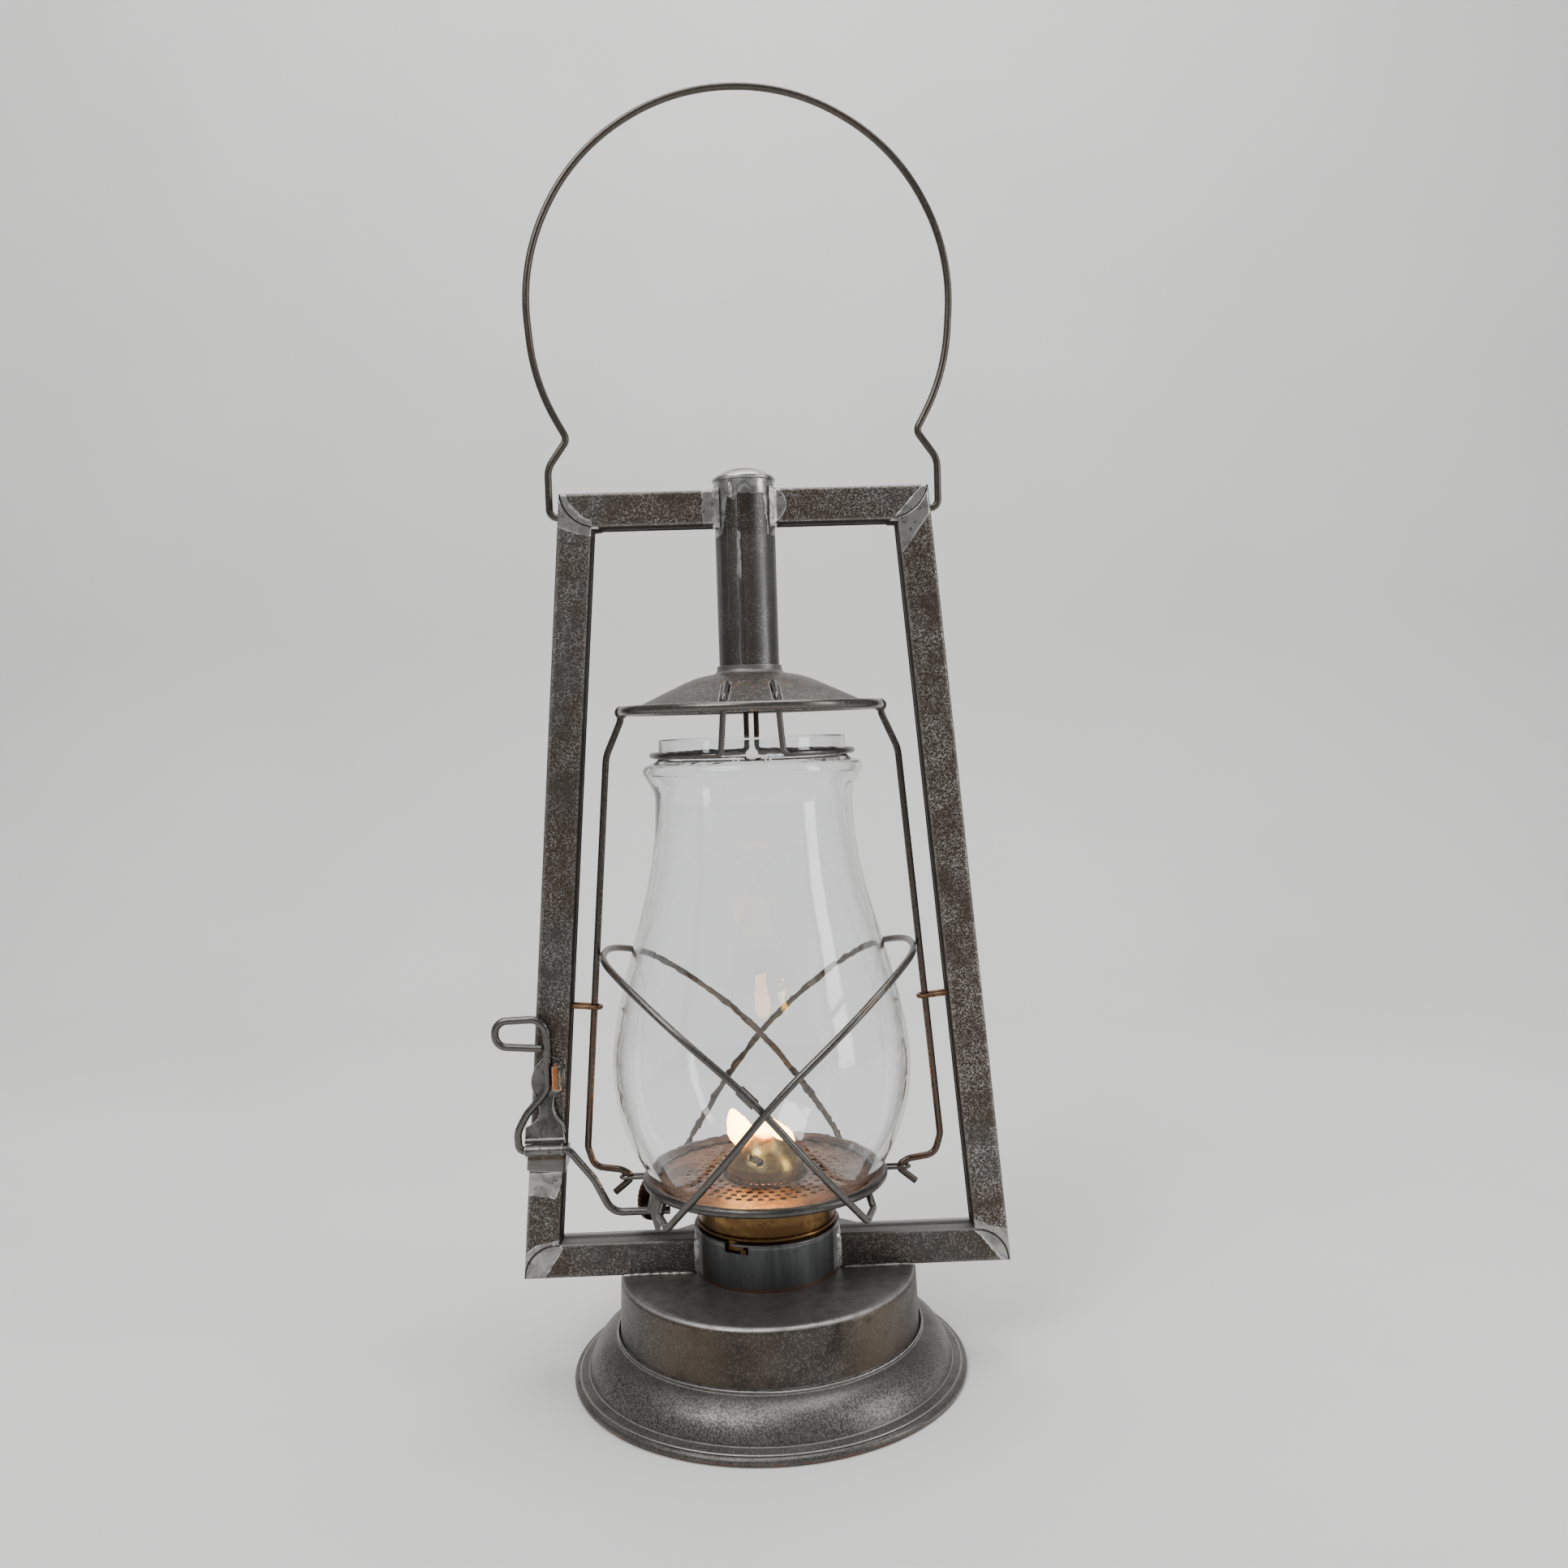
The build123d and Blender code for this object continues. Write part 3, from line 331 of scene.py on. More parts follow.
@recipe
def tube_tin(shader, shift, brown, frost, patches, shaded_faces, lit_faces=()):
    """Tinplate tube: brown patina under silvery grain, worn edges and smooth solder at its joints, with a
    painted highlight along the solder's edge; painted shade darkens the faces turned inward and downward, and
    the upper faces are painted lighter, with a painted highlight strip and painted shade in the seam gap.
    """
    clumps = shader.noise(85, 4, 0.66, 0.6, shift=(shift, shift, 0))
    tone = shader.noise(20, 3, 0.55, 0.3, shift=(0, shift, shift))
    grain = shader.noise(1650, 2, 0.72, 0.6, shift=(shift, 0, shift))
    fine = shader.noise(3100, 1, 0.5, 0.0)
    smear = shader.noise(150, 4, 0.55, 0.9, shift=(shift, 2, 0))
    ground = shader.ramp(tone, 0.36 + 0.3 * brown, 0.20 + 0.3 * brown, DARK_BROWN, DARK_GREY)
    amount = shader.step(clumps, 0.30, 0.66, 0.16, 1.0)
    sparkle = shader.step(fine, 0.30, 0.62, 0.45, 1.0)
    specks = shader.times(shader.step(grain, 0.495, 0.60), sparkle, amount, frost)
    colour = shader.mix(specks, ground, FROST)
    colour = shader.tint(colour, WORN, shader.wear(1.1 * MM), shader.step(grain, 0.30, 0.50, 0.65, 1.0))
    rough = shader.step(specks, 0.0, 0.8, 0.50, 0.40)
    height = shader.scaled(grain, 0.5, clumps)

    cover, seams = solder_cover(shader, patches)
    inside = shader.step(cover, -0.12 * MM, 0.25 * MM)
    # Painted highlight: a bright lip along the edge of the solder.
    lip = shader.band(cover, 0.0, 0.55 * MM, 0.25 * MM)
    alloy = shader.ramp(smear, 0.36, 0.64, OLD_SOLDER, NEW_SOLDER)
    alloy = shader.mix(shader.step(shader.noise(520, 3, 0.6, 0.2), 0.62, 0.70), alloy, SOLDER_PIT)
    alloy = shader.tint(alloy, SOLDER_EDGE_HIGHLIGHT, lip, shader.step(smear, 0.44, 0.58))
    colour = shader.mix(inside, colour, alloy)
    colour = shader.mix(seams, colour, SEAM)
    rough = shader.blend(inside, rough, shader.step(smear, 0.3, 0.7, 0.40, 0.28))
    height = shader.scaled(inside, 1.6, height)
    height = shader.scaled(seams, -2.2, height)

    depth = shader.axis("Y")
    strip = shader.band(depth, *mm(HIGHLIGHT_STRIP), 0.5 * MM)
    gap = shader.band(depth, *mm(FOLD_GAP), 0.6 * MM)
    # Painted light: upper faces are painted lighter, with a painted highlight strip at their back and painted
    # shade in the seam gap.
    for face in lit_faces:
        facing = shader.facing(*face)
        colour = shader.tint(colour, (0.15, 0.147, 0.140), facing, 0.75)
        colour = shader.tint(colour, (0.42, 0.415, 0.40), facing, strip, 0.8)
        colour = shader.tint(colour, (0.020, 0.018, 0.016), facing, gap, 0.9)
    # Painted shade: faces turned inward and downward are darkened nearly to black and lose most of their
    # shine.
    shade = shader.most(*[shader.facing(*face) for face in shaded_faces])
    colour = shader.tint(colour, PAINTED_SHADE, shade, 0.88)
    shader.put(shader.blend(shade, 0.5, 0.06), shader.bsdf.inputs["Specular IOR Level"])
    shader.surface(colour, shader.blend(shade, 0.80, 0.0), shader.blend(shade, rough, 0.95))
    shader.bump(height, 0.00008, 0.8)


# Solder on the front of the chimney: flows down both sides, one blob by the seam and a strip beside it.
CHIMNEY_SOLDER = [
    [(-12, 316.5), (-8.6, 317.5), (-6.3, 330), (-6.0, 338), (-12, 338)],
    [(8.6, 317.7), (12, 316.5), (12, 338), (6.8, 338), (7.3, 330.5)],
    [(-5.6, 331.5), (-4.2, 329.6), (-2.8, 330.6), (-2.4, 338), (-5.8, 338)],
    [(-3.4, 303), (-2.0, 300), (-1.9, 318), (-3.0, 319)],
]
SOLDER_TIDE = 332.2              # above this height the whole front is soldered
# Painted highlight along the lapped edge of the seam.
LAP_HIGHLIGHT = (-2.7, -1.8)               # bright lapped edge of the chimney seam, and the crease beside it
CREASE = (-1.75, -1.35)
BROWN_STRIP = (-1.2, 3.2)
# Painted reflection: blue-grey tint from this distance on (mm).
BLUE_REFLECTION_SIDE = (3.2, 4.6)
PALE_FOOT = (322, 318.5)


@recipe
def chimney_tin(shader):
    """Chimney tube: smooth drawn tin with upright streaks and a lapped seam down the front, a painted
    blue-grey reflection down its right side and a painted highlight along the lapped edge.
    """
    across, up = shader.axis("X"), shader.axis("Z")
    front = shader.step(shader.axis("Y"), -2 * MM, -6 * MM)
    streak = shader.noise(420, 3, 0.6, 0.1, stretch=(1, 1, 0.04))
    broad = shader.noise(130, 3, 0.55, 0.1, stretch=(1, 1, 0.10))
    grain = shader.noise(1500, 2, 0.65, 0.3)
    wander = shader.noise(60, 2, 0.5, 0.0, stretch=(0.1, 0.1, 1))
    bend = shader.scaled(wander, 1.6 * MM, across)
    colour = shader.ramp(broad, 0.36, 0.64, (0.036, 0.030, 0.024), (0.066, 0.060, 0.054))
    colour = shader.tint(colour, (0.25, 0.245, 0.235), shader.step(streak, 0.54, 0.70), 0.40)
    # Painted reflection: blue-grey tint down the right side.
    blue = shader.step(bend, *mm(BLUE_REFLECTION_SIDE))
    colour = shader.tint(colour, (0.058, 0.060, 0.063), blue, 0.55)
    brown = shader.band(bend, *mm(BROWN_STRIP), 0.5 * MM)
    colour = shader.tint(colour, (0.046, 0.033, 0.023), brown, front, 0.8)
    # Painted highlight along the lapped edge, on the front.
    lap = shader.band(bend, *mm(LAP_HIGHLIGHT), 0.3 * MM)
    colour = shader.tint(colour, (0.36, 0.352, 0.34), lap, front, shader.step(streak, 0.40, 0.62, 0.1, 0.85))
    crease = shader.times(shader.band(bend, *mm(CREASE), 0.18 * MM), front)
    colour = shader.mix(crease, colour, (0.022, 0.018, 0.015))
    height = shader.scaled(broad, 5 * MM, up)
    foot = shader.step(height, *mm(PALE_FOOT))
    colour = shader.tint(colour, (0.30, 0.295, 0.285), foot, 0.10)
    colour = shader.tint(colour, (0.055, 0.046, 0.038), shader.step(grain, 0.60, 0.70), 0.45)
    specks = shader.step(shader.noise(1700, 2, 0.7, 0.4), 0.52, 0.62)
    clumps = shader.step(shader.noise(110, 4, 0.65, 0.4), 0.42, 0.62, 0.08, 1.0)
    colour = shader.tint(colour, (0.26, 0.252, 0.24), specks, clumps, 0.55)

    plane = shader.ragged(0.9, 260)
    flows = [shader.outline(plane, points) for points in CHIMNEY_SOLDER]
    flows.append(shader.math("SUBTRACT", plane[1], SOLDER_TIDE * MM))
    cover = shader.step(shader.most(*flows), -0.15 * MM, 0.25 * MM)
    smear = shader.noise(230, 4, 0.6, 0.7)
    alloy = shader.ramp(smear, 0.38, 0.62, (0.20, 0.195, 0.185), (0.46, 0.455, 0.44))
    colour = shader.mix(cover, colour, alloy)
    rough = shader.blend(cover, shader.step(broad, 0.3, 0.7, 0.48, 0.38), 0.30)
    shader.surface(colour, 0.78, rough)
    relief = shader.scaled(cover, 2.4, streak)
    relief = shader.scaled(grain, 0.3, relief)
    relief = shader.scaled(crease, -1.5, relief)
    shader.bump(relief, 0.00007, 0.7)


@recipe
def chimney_cap_tin(shader):
    """Cap over the chimney: taupe dust on top, bright rolled edge and solder under it."""
    top = box("chimney_cap")[1].z
    smear = shader.noise(230, 4, 0.6, 0.5)
    dust = shader.noise(640, 3, 0.65, 0.3)
    colour = shader.ramp(smear, 0.34, 0.62, (0.24, 0.236, 0.228), (0.46, 0.457, 0.44))
    colour = shader.tint(colour, (0.13, 0.115, 0.10), shader.step(dust, 0.57, 0.68), 0.7)
    height = shader.scaled(smear, 0.8 * MM, shader.axis("Z"))
    crown = shader.step(height, top - 1.9 * MM, top - 1.2 * MM)
    dull = shader.ramp(dust, 0.40, 0.62, (0.120, 0.106, 0.092), (0.19, 0.176, 0.160))
    colour = shader.tint(colour, dull, crown, 0.85)
    shader.surface(colour, 0.85, shader.blend(crown, 0.30, 0.52))
    shader.bump(shader.scaled(dust, 0.4, smear), 0.0002, 0.8)


SLOT_RING = (22, 33)             # distances from the middle between which the canopy slots lie
SLOT_SIDES = (22, 9)             # rust fades out sideways from the slots
CANOPY_COLLAR = (14.2, 12.4)


@recipe
def dusty_dome(shader):
    """Canopy: smooth dusty grey-brown tin with small pits and rust specks round its two slots."""
    clouds = shader.noise(34, 4, 0.6, 0.4)
    dust = shader.noise(900, 3, 0.6, 0.3)
    pits = shader.noise(330, 4, 0.7, 0.2, shift=(2, 5, 1))
    mottle = shader.noise(150, 4, 0.7, 0.6, shift=(5, 1, 4))
    reach = shader.radius()
    colour = shader.ramp(clouds, 0.32, 0.66, (0.040, 0.036, 0.031), (0.080, 0.074, 0.066))
    colour = shader.tint(colour, (0.048, 0.039, 0.030), shader.step(mottle, 0.50, 0.64), 0.55)
    colour = shader.tint(colour, (0.21, 0.198, 0.180), shader.step(dust, 0.50, 0.62), 0.50)
    colour = shader.ramp(pits, 0.60, 0.66, colour, (0.020, 0.014, 0.010))
    near = shader.band(reach, *mm(SLOT_RING), 5 * MM)
    aside = shader.math("ABSOLUTE", shader.axis("X"))
    beside = shader.step(aside, *mm(SLOT_SIDES), 0.25, 1.0)
    rust = shader.step(shader.noise(520, 4, 0.7, 0.3, shift=(7, 0, 3)), 0.53, 0.64)
    colour = shader.tint(colour, (0.20, 0.085, 0.040), rust, near, beside, 0.85)
    colour = shader.tint(colour, WORN, shader.wear(0.8 * MM), shader.step(dust, 0.30, 0.55, 0.35, 1.0), 0.8)
    collar = shader.step(reach, *mm(CANOPY_COLLAR))
    colour = shader.tint(colour, (0.22, 0.214, 0.202), collar, 0.6)
    shader.surface(colour, 0.70, shader.step(clouds, 0.3, 0.7, 0.50, 0.42))
    relief = shader.scaled(pits, -1.2, shader.scaled(dust, 0.4, clouds))
    shader.bump(relief, 0.00010, 0.7)


# Painted bronze reflections on the fount's wall: middle x, half width (mm) and strength.
BRONZE_REFLECTIONS = ((-20, 11, 0.55), (46, 10, 0.6), (4, 8, 0.25))
# The line round the top edge is worn silver with a painted highlight; the line along the wall's foot is a
# painted highlight.
FOUNT_EDGE = (54.9, 55.8)        # distance from the middle at which the worn line round the top begins
FOUNT_FOOT = (16.6, 17.9)        # heights of the bright line along the wall's foot


@recipe
def fount_tin(shader):
    """Fuel fount: mottled top plate painted lighter, brown wall with painted bronze reflections, a line round
    the edge that is worn silver with a painted highlight, and a painted highlight line along the wall's foot.
    """
    across, up, reach = shader.axis("X"), shader.axis("Z"), shader.radius()
    top = box("fount_shell")[1].z
    clouds = shader.noise(40, 4, 0.62, 0.5)
    grain = shader.noise(1250, 2, 0.66, 0.5)
    blots = shader.noise(210, 4, 0.68, 0.5, shift=(1, 6, 2))
    colour = shader.ramp(clouds, 0.34, 0.64, (0.028, 0.022, 0.017), (0.062, 0.054, 0.046))
    frost = shader.times(shader.step(grain, 0.50, 0.64), shader.step(clouds, 0.34, 0.6, 0.2, 0.7))
    colour = shader.mix(frost, colour, (0.155, 0.148, 0.136))
    wobble = shader.scaled(clouds, 16 * MM, across)
    wall = shader.step(up, top - 0.8 * MM, top - 1.6 * MM)
    # Painted reflections: upright bronze bands on the wall.
    for centre, wide, amount in BRONZE_REFLECTIONS:
        reflection = shader.band(wobble, (centre - wide) * MM, (centre + wide) * MM, 7 * MM)
        colour = shader.tint(colour, (0.108, 0.080, 0.054), reflection, wall, amount)
    colour = shader.tint(colour, (0.030, 0.024, 0.019), shader.step(blots, 0.60, 0.70), 0.6)
    # Painted light: the top plate is painted lighter where it faces up.
    flat = shader.step(blots, 0.34, 0.62, 0.55, 0.95)
    colour = shader.tint(colour, (0.175, 0.169, 0.158), shader.facing("Z"), flat)
    # Worn silver with a painted highlight round the top edge, and a painted highlight line along the wall's
    # foot.
    edge = shader.step(reach, *mm(FOUNT_EDGE))
    rim = shader.step(up, top - 1.5 * MM, top - 0.7 * MM)
    rubbed = shader.step(grain, 0.28, 0.46, 0.55, 1.0)
    line = shader.times(edge, rim, rubbed, shader.step(blots, 0.30, 0.56, 0.45, 0.9))
    foot = shader.band(up, *mm(FOUNT_FOOT), 0.5 * MM)
    foot = shader.times(foot, shader.step(blots, 0.36, 0.55, 0.4, 1.0), 0.8)
    bright = shader.most(line, foot, shader.times(shader.wear(0.8 * MM), 0.6))
    colour = shader.mix(bright, colour, (0.42, 0.412, 0.395))
    shader.surface(colour, 0.74, shader.step(clouds, 0.3, 0.7, 0.50, 0.40))
    shader.bump(shader.scaled(grain, 0.35, clouds), 0.00009, 0.7)


# Heights on the skirt: painted sheen over the belly and painted shade in the groove.
SKIRT_BELLY = (5.5, 14.0)        # heights on the base skirt: its dusty belly, groove and rusty edge
SKIRT_GROOVE = (4.2, 4.7)
SKIRT_RUST = (1.6, 0.5)


@recipe
def skirt_tin(shader):
    """Base skirt: dense fine silvery dust, laid thicker on the belly as a painted sheen, with painted shade
    in its groove and a rusty lower edge.
    """
    up = shader.axis("Z")
    clouds = shader.noise(46, 4, 0.6, 0.4)
    grain = shader.noise(1500, 2, 0.7, 0.4)
    fine = shader.noise(3300, 1, 0.5, 0.0)
    colour = shader.ramp(clouds, 0.34, 0.64, (0.046, 0.041, 0.036), (0.082, 0.076, 0.069))
    # Painted sheen: the silvery dust is laid thicker over the belly.
    belly = shader.band(up, *mm(SKIRT_BELLY), 2.5 * MM)
    dust = shader.times(shader.step(grain, 0.42, 0.60), shader.step(fine, 0.3, 0.62, 0.5, 1.0))
    colour = shader.tint(colour, (0.24, 0.234, 0.222), dust, shader.blend(belly, 0.35, 0.80))
    # Painted shade in the groove.
    groove = shader.band(up, *mm(SKIRT_GROOVE), 0.35 * MM)
    colour = shader.tint(colour, (0.04, 0.034, 0.028), groove, 0.6)
    low = shader.step(up, *mm(SKIRT_RUST))
    rusty = shader.step(shader.noise(260, 4, 0.65, 0.4), 0.40, 0.58)
    colour = shader.tint(colour, (0.20, 0.085, 0.040), low, rusty, 0.8)
    edges = shader.times(shader.wear(0.8 * MM), shader.step(grain, 0.3, 0.55, 0.5, 1.0))
    colour = shader.mix(edges, colour, (0.50, 0.49, 0.47))
    shader.surface(colour, 0.80, shader.step(clouds, 0.3, 0.7, 0.48, 0.40))
    shader.bump(shader.scaled(grain, 0.4, clouds), 0.00008, 0.7)


DRUM_SIDES = (24.9, 27.4)        # distances from the middle where solder joins the drum to the tubes
DRUM_BAND = (2.2, 1.4)           # its bright band, below its top, and its rusty ring, above its foot
DRUM_RUST = (3.0, 1.6)


@recipe
def drum_tin(shader):
    """Air drum: blue-grey tin, upright streaks, soldered sides and a rusty ring at its foot."""
    across, up = shader.axis("X"), shader.axis("Z")
    low, high = box("burner_drum")
    clouds = shader.noise(60, 4, 0.6, 0.5)
    streak = shader.noise(260, 3, 0.6, 0.2, stretch=(1, 1, 0.08))
    spots = shader.noise(520, 3, 0.68, 0.3)
    colour = shader.ramp(streak, 0.30, 0.70, (0.056, 0.057, 0.058), (0.092, 0.094, 0.097))
    colour = shader.tint(colour, (0.070, 0.057, 0.046), shader.step(clouds, 0.52, 0.68), 0.7)
    colour = shader.tint(colour, (0.035, 0.030, 0.026), shader.step(spots, 0.60, 0.68), 0.7)
    band = shader.step(up, high.z - DRUM_BAND[0] * MM, high.z - DRUM_BAND[1] * MM)
    band = shader.times(band, shader.step(streak, 0.3, 0.5, 0.5, 1.0), 0.22)
    sides = shader.band(shader.math("ABSOLUTE", across), *mm(DRUM_SIDES), 0.6 * MM)
    sides = shader.times(sides, shader.step(clouds, 0.36, 0.52, 0.4, 1.0))
    colour = shader.mix(shader.most(band, sides), colour, (0.40, 0.397, 0.385))
    height = shader.scaled(clouds, 2 * MM, up)
    foot = shader.step(height, low.z + DRUM_RUST[0] * MM, low.z + DRUM_RUST[1] * MM)
    colour = shader.tint(colour, (0.115, 0.062, 0.036), foot, 0.85)
    shader.surface(colour, 0.78, shader.step(streak, 0.3, 0.7, 0.50, 0.38))
    shader.bump(shader.scaled(spots, 0.4, clouds), 0.0001, 0.6)


@recipe
def solder(shader, base=(0.27, 0.265, 0.252), light=(0.47, 0.465, 0.45), dull=(0.11, 0.098, 0.085)):
    """Solder, smeared and slightly dirty."""
    smear = shader.noise(240, 4, 0.55, 0.8)
    dirt = shader.noise(520, 3, 0.6, 0.4)
    colour = shader.ramp(smear, 0.38, 0.62, base, light)
    colour = shader.tint(colour, dull, shader.step(dirt, 0.54, 0.68), 0.85)
    shader.surface(colour, 0.85, shader.step(smear, 0.3, 0.7, 0.28, 0.42))
    shader.bump(smear, 0.00022, 0.8)


WARM_STEEL = (0.092, 0.070, 0.053)


@recipe
def wire(shader, base=(0.105, 0.099, 0.092), warmth=0.5, rough=0.28, rust=None, back=0.0):
    """Satin steel wire; rust=(low z, high z, amount) reddens it there and back browns its rear."""
    tone = shader.noise(34, 3, 0.55, 0.2)
    scuff = shader.noise(900, 3, 0.65, 0.3)
    warm = shader.step(tone, 0.70 - warmth * 0.3, 0.82 - warmth * 0.3)
    colour = shader.mix(warm, base, WARM_STEEL)
    colour = shader.tint(colour, (0.27, 0.262, 0.248), shader.step(scuff, 0.50, 0.70), 0.18)
    if back:
        behind = shader.step(shader.axis("Y"), -6 * MM, 12 * MM)
        colour = shader.tint(colour, (0.060, 0.038, 0.025), behind, back)
    if rust:
        low, high, amount = rust
        place = shader.band(shader.axis("Z"), low * MM, high * MM, 12 * MM)
        patchy = shader.step(shader.noise(230, 4, 0.7, 0.3), 0.36, 0.60)
        colour = shader.tint(colour, (0.135, 0.056, 0.026), place, patchy, amount)
    shader.surface(colour, 0.85, shader.step(scuff, 0.35, 0.65, rough - 0.02, rough + 0.06))
    shader.bump(scuff, 0.00002, 0.25)


PALE_PLATE = (85.6, 84.8)        # heights on the lever's strap: pale plate below, rusty band over it
STRAP_RUST = (84.9, 86.6)


@recipe
def strap_steel(shader):
    """Hinge strap of the lever: scratched satin barrel, pale plate below it with a rusty band between."""
    up = shader.axis("Z")
    scratch = shader.noise(420, 3, 0.6, 0.2, stretch=(0.15, 1, 1))
    spots = shader.noise(600, 3, 0.68, 0.3)
    colour = shader.ramp(scratch, 0.36, 0.64, (0.090, 0.086, 0.081), (0.185, 0.180, 0.172))
    colour = shader.tint(colour, (0.048, 0.040, 0.033), shader.step(spots, 0.58, 0.68), 0.8)
    plate = shader.step(up, *mm(PALE_PLATE))
    colour = shader.tint(colour, (0.150, 0.144, 0.133), plate, 0.75)
    band = shader.band(up, *mm(STRAP_RUST), 0.5 * MM)
    colour = shader.tint(colour, (0.075, 0.048, 0.030), band, shader.step(spots, 0.3, 0.5, 0.6, 1.0), 0.9)
    colour = shader.tint(colour, (0.58, 0.57, 0.55), shader.wear(0.5 * MM), 0.9)
    shader.surface(colour, 0.85, shader.step(spots, 0.35, 0.65, 0.30, 0.44))
    shader.bump(shader.scaled(spots, 0.4, scratch), 0.00008, 0.7)


# Outline of the painted orange reflection on the tab (x, z in mm).
ORANGE_TAB_REFLECTION = [(-79.5, 112.0), (-76.7, 112.4), (-76.3, 121.6), (-79.5, 121.2)]
# Heights of the painted highlight along the fold (mm).
LATCH_FOLD_HIGHLIGHT = (92.6, 93.2)


@recipe
def latch_steel(shader):
    """Leaf that holds the lever: glossy grey with dark spots, a painted orange reflection where its tab folds
    over, and a painted highlight along a fold.
    """
    spots = shader.noise(520, 4, 0.7, 0.4)
    clouds = shader.noise(120, 3, 0.6, 0.4)
    colour = shader.ramp(clouds, 0.36, 0.62, (0.058, 0.056, 0.053), (0.125, 0.122, 0.118))
    colour = shader.tint(colour, (0.030, 0.027, 0.024), shader.step(spots, 0.58, 0.66), 0.85)
    # Painted orange reflection on the tab.
    tab = shader.outline(shader.ragged(0.25, 600), ORANGE_TAB_REFLECTION)
    colour = shader.ramp(tab, 0.0, 0.3 * MM, colour, (0.36, 0.120, 0.035))
    # Painted highlight along the fold.
    fold = shader.band(shader.axis("Z"), *mm(LATCH_FOLD_HIGHLIGHT), 0.3 * MM)
    bright = shader.most(shader.times(fold, 0.9), shader.wear(0.5 * MM))
    colour = shader.mix(bright, colour, (0.60, 0.59, 0.57))
    shader.surface(colour, 0.88, shader.step(spots, 0.35, 0.65, 0.17, 0.34))
    shader.bump(shader.scaled(spots, 0.5, clouds), 0.0001, 0.7)


TARNISH = (0.045, 0.025, 0.014)


@recipe
def brass(shader, bright=(0.52, 0.35, 0.115), dull=(0.17, 0.085, 0.030), amount=0.5):
    """Old brass: golden where it is rubbed, brown to black in blotches elsewhere."""
    blotch = shader.noise(85, 5, 0.62, 0.5)
    spots = shader.noise(420, 4, 0.65, 0.4)
    tarnish = 0.2 * (1 - amount)
    colour = shader.ramp(blotch, 0.36 + tarnish, 0.60 + tarnish, dull, bright)
    colour = shader.tint(colour, TARNISH, shader.step(spots, 0.56, 0.70), 0.8)
    shader.surface(colour, 0.92, shader.step(spots, 0.35, 0.65, 0.28, 0.46))
    shader.bump(shader.scaled(spots, 0.5, blotch), 0.00010, 0.7)


# Circles on the front of the burner cone (x, z, radius in mm): painted highlights, and a dent with painted
# shade in its hollow.
CONE_HIGHLIGHTS = ((-3.7, 87.4, 2.2), (4.6, 86.8, 2.4))
CONE_DENT = ((-3.8, 83.6, 1.3), (-1.9, 82.9, 1.5), (-5.4, 84.3, 0.9))
DENT_RIDGE = (84.0, 82.6)        # the dent's bright ridge lies below these heights
CONE_FOOT = (77.0, 74.0)


@recipe
def cone_brass(shader):
    """Burner cone: golden brass with turning lines, a dent with painted shade in its hollow and a painted
    highlight on its ridge, and painted highlights on its front.
    """
    up = shader.axis("Z")
    lines = shader.noise(900, 2, 0.6, 0.0, stretch=(0.03, 0.03, 1))
    blotch = shader.noise(150, 4, 0.62, 0.5)
    spots = shader.noise(560, 4, 0.68, 0.4)
    front = shader.step(shader.axis("Y"), -4 * MM, -9 * MM)
    plane = shader.ragged(0.5, 300)
    colour = shader.ramp(blotch, 0.30, 0.66, (0.24, 0.130, 0.028), (0.50, 0.300, 0.070))
    colour = shader.tint(colour, (0.15, 0.078, 0.018), shader.step(lines, 0.50, 0.66), 0.40)
    colour = shader.tint(colour, (0.10, 0.050, 0.014), shader.step(spots, 0.62, 0.72), 0.6)
    foot = shader.step(up, *mm(CONE_FOOT))
    colour = shader.tint(colour, (0.14, 0.080, 0.030), foot, 0.35)
    # Painted highlights on the front.
    highlights = shader.most(*[shader.round_patch(plane, *circle) for circle in CONE_HIGHLIGHTS])
    highlights = shader.step(highlights, -0.8 * MM, 1.2 * MM)
    colour = shader.tint(colour, (0.72, 0.53, 0.22), highlights, front, 0.55)
    # Painted shade in the dent's hollow.
    dent = shader.most(*[shader.round_patch(plane, *circle) for circle in CONE_DENT])
    hollow = shader.times(shader.step(dent, -0.4 * MM, 0.4 * MM), front)
    colour = shader.mix(hollow, colour, (0.030, 0.020, 0.012))
    # Painted highlight on the dent's ridge.
    ridge = shader.band(dent, -1.5 * MM, -0.6 * MM, 0.4 * MM)
    below = shader.step(up, *mm(DENT_RIDGE))
    colour = shader.tint(colour, (0.72, 0.54, 0.26), ridge, front, below, 0.8)
    shader.surface(colour, 0.95, shader.step(spots, 0.35, 0.65, 0.27, 0.38))
    relief = shader.scaled(hollow, -2.0, shader.scaled(lines, 0.25, blotch))
    shader.bump(relief, 0.00016, 0.6)


@recipe
def rusty_plate(shader):
    """Globe plate: pinkish brown rust with grey worn spots."""
    blotch = shader.noise(130, 5, 0.66, 0.5)
    spots = shader.noise(620, 4, 0.7, 0.4)
    worn = shader.noise(260, 4, 0.68, 0.3, shift=(4, 0, 0))
    colour = shader.ramp(blotch, 0.40, 0.58, (0.100, 0.052, 0.034), (0.235, 0.140, 0.100))
    colour = shader.tint(colour, (0.185, 0.168, 0.150), shader.step(worn, 0.52, 0.64), 0.75)
    colour = shader.tint(colour, (0.050, 0.031, 0.023), shader.step(spots, 0.54, 0.66), 0.85)
    colour = shader.tint(colour, (0.46, 0.385, 0.33), shader.wear(0.35 * MM), 0.75)
    shader.surface(colour, 0.60, shader.step(spots, 0.3, 0.7, 0.38, 0.56))
    shader.bump(shader.math("ADD", blotch, spots), 0.00012, 0.8)


INNER_RIM = (45.6, 44.4)


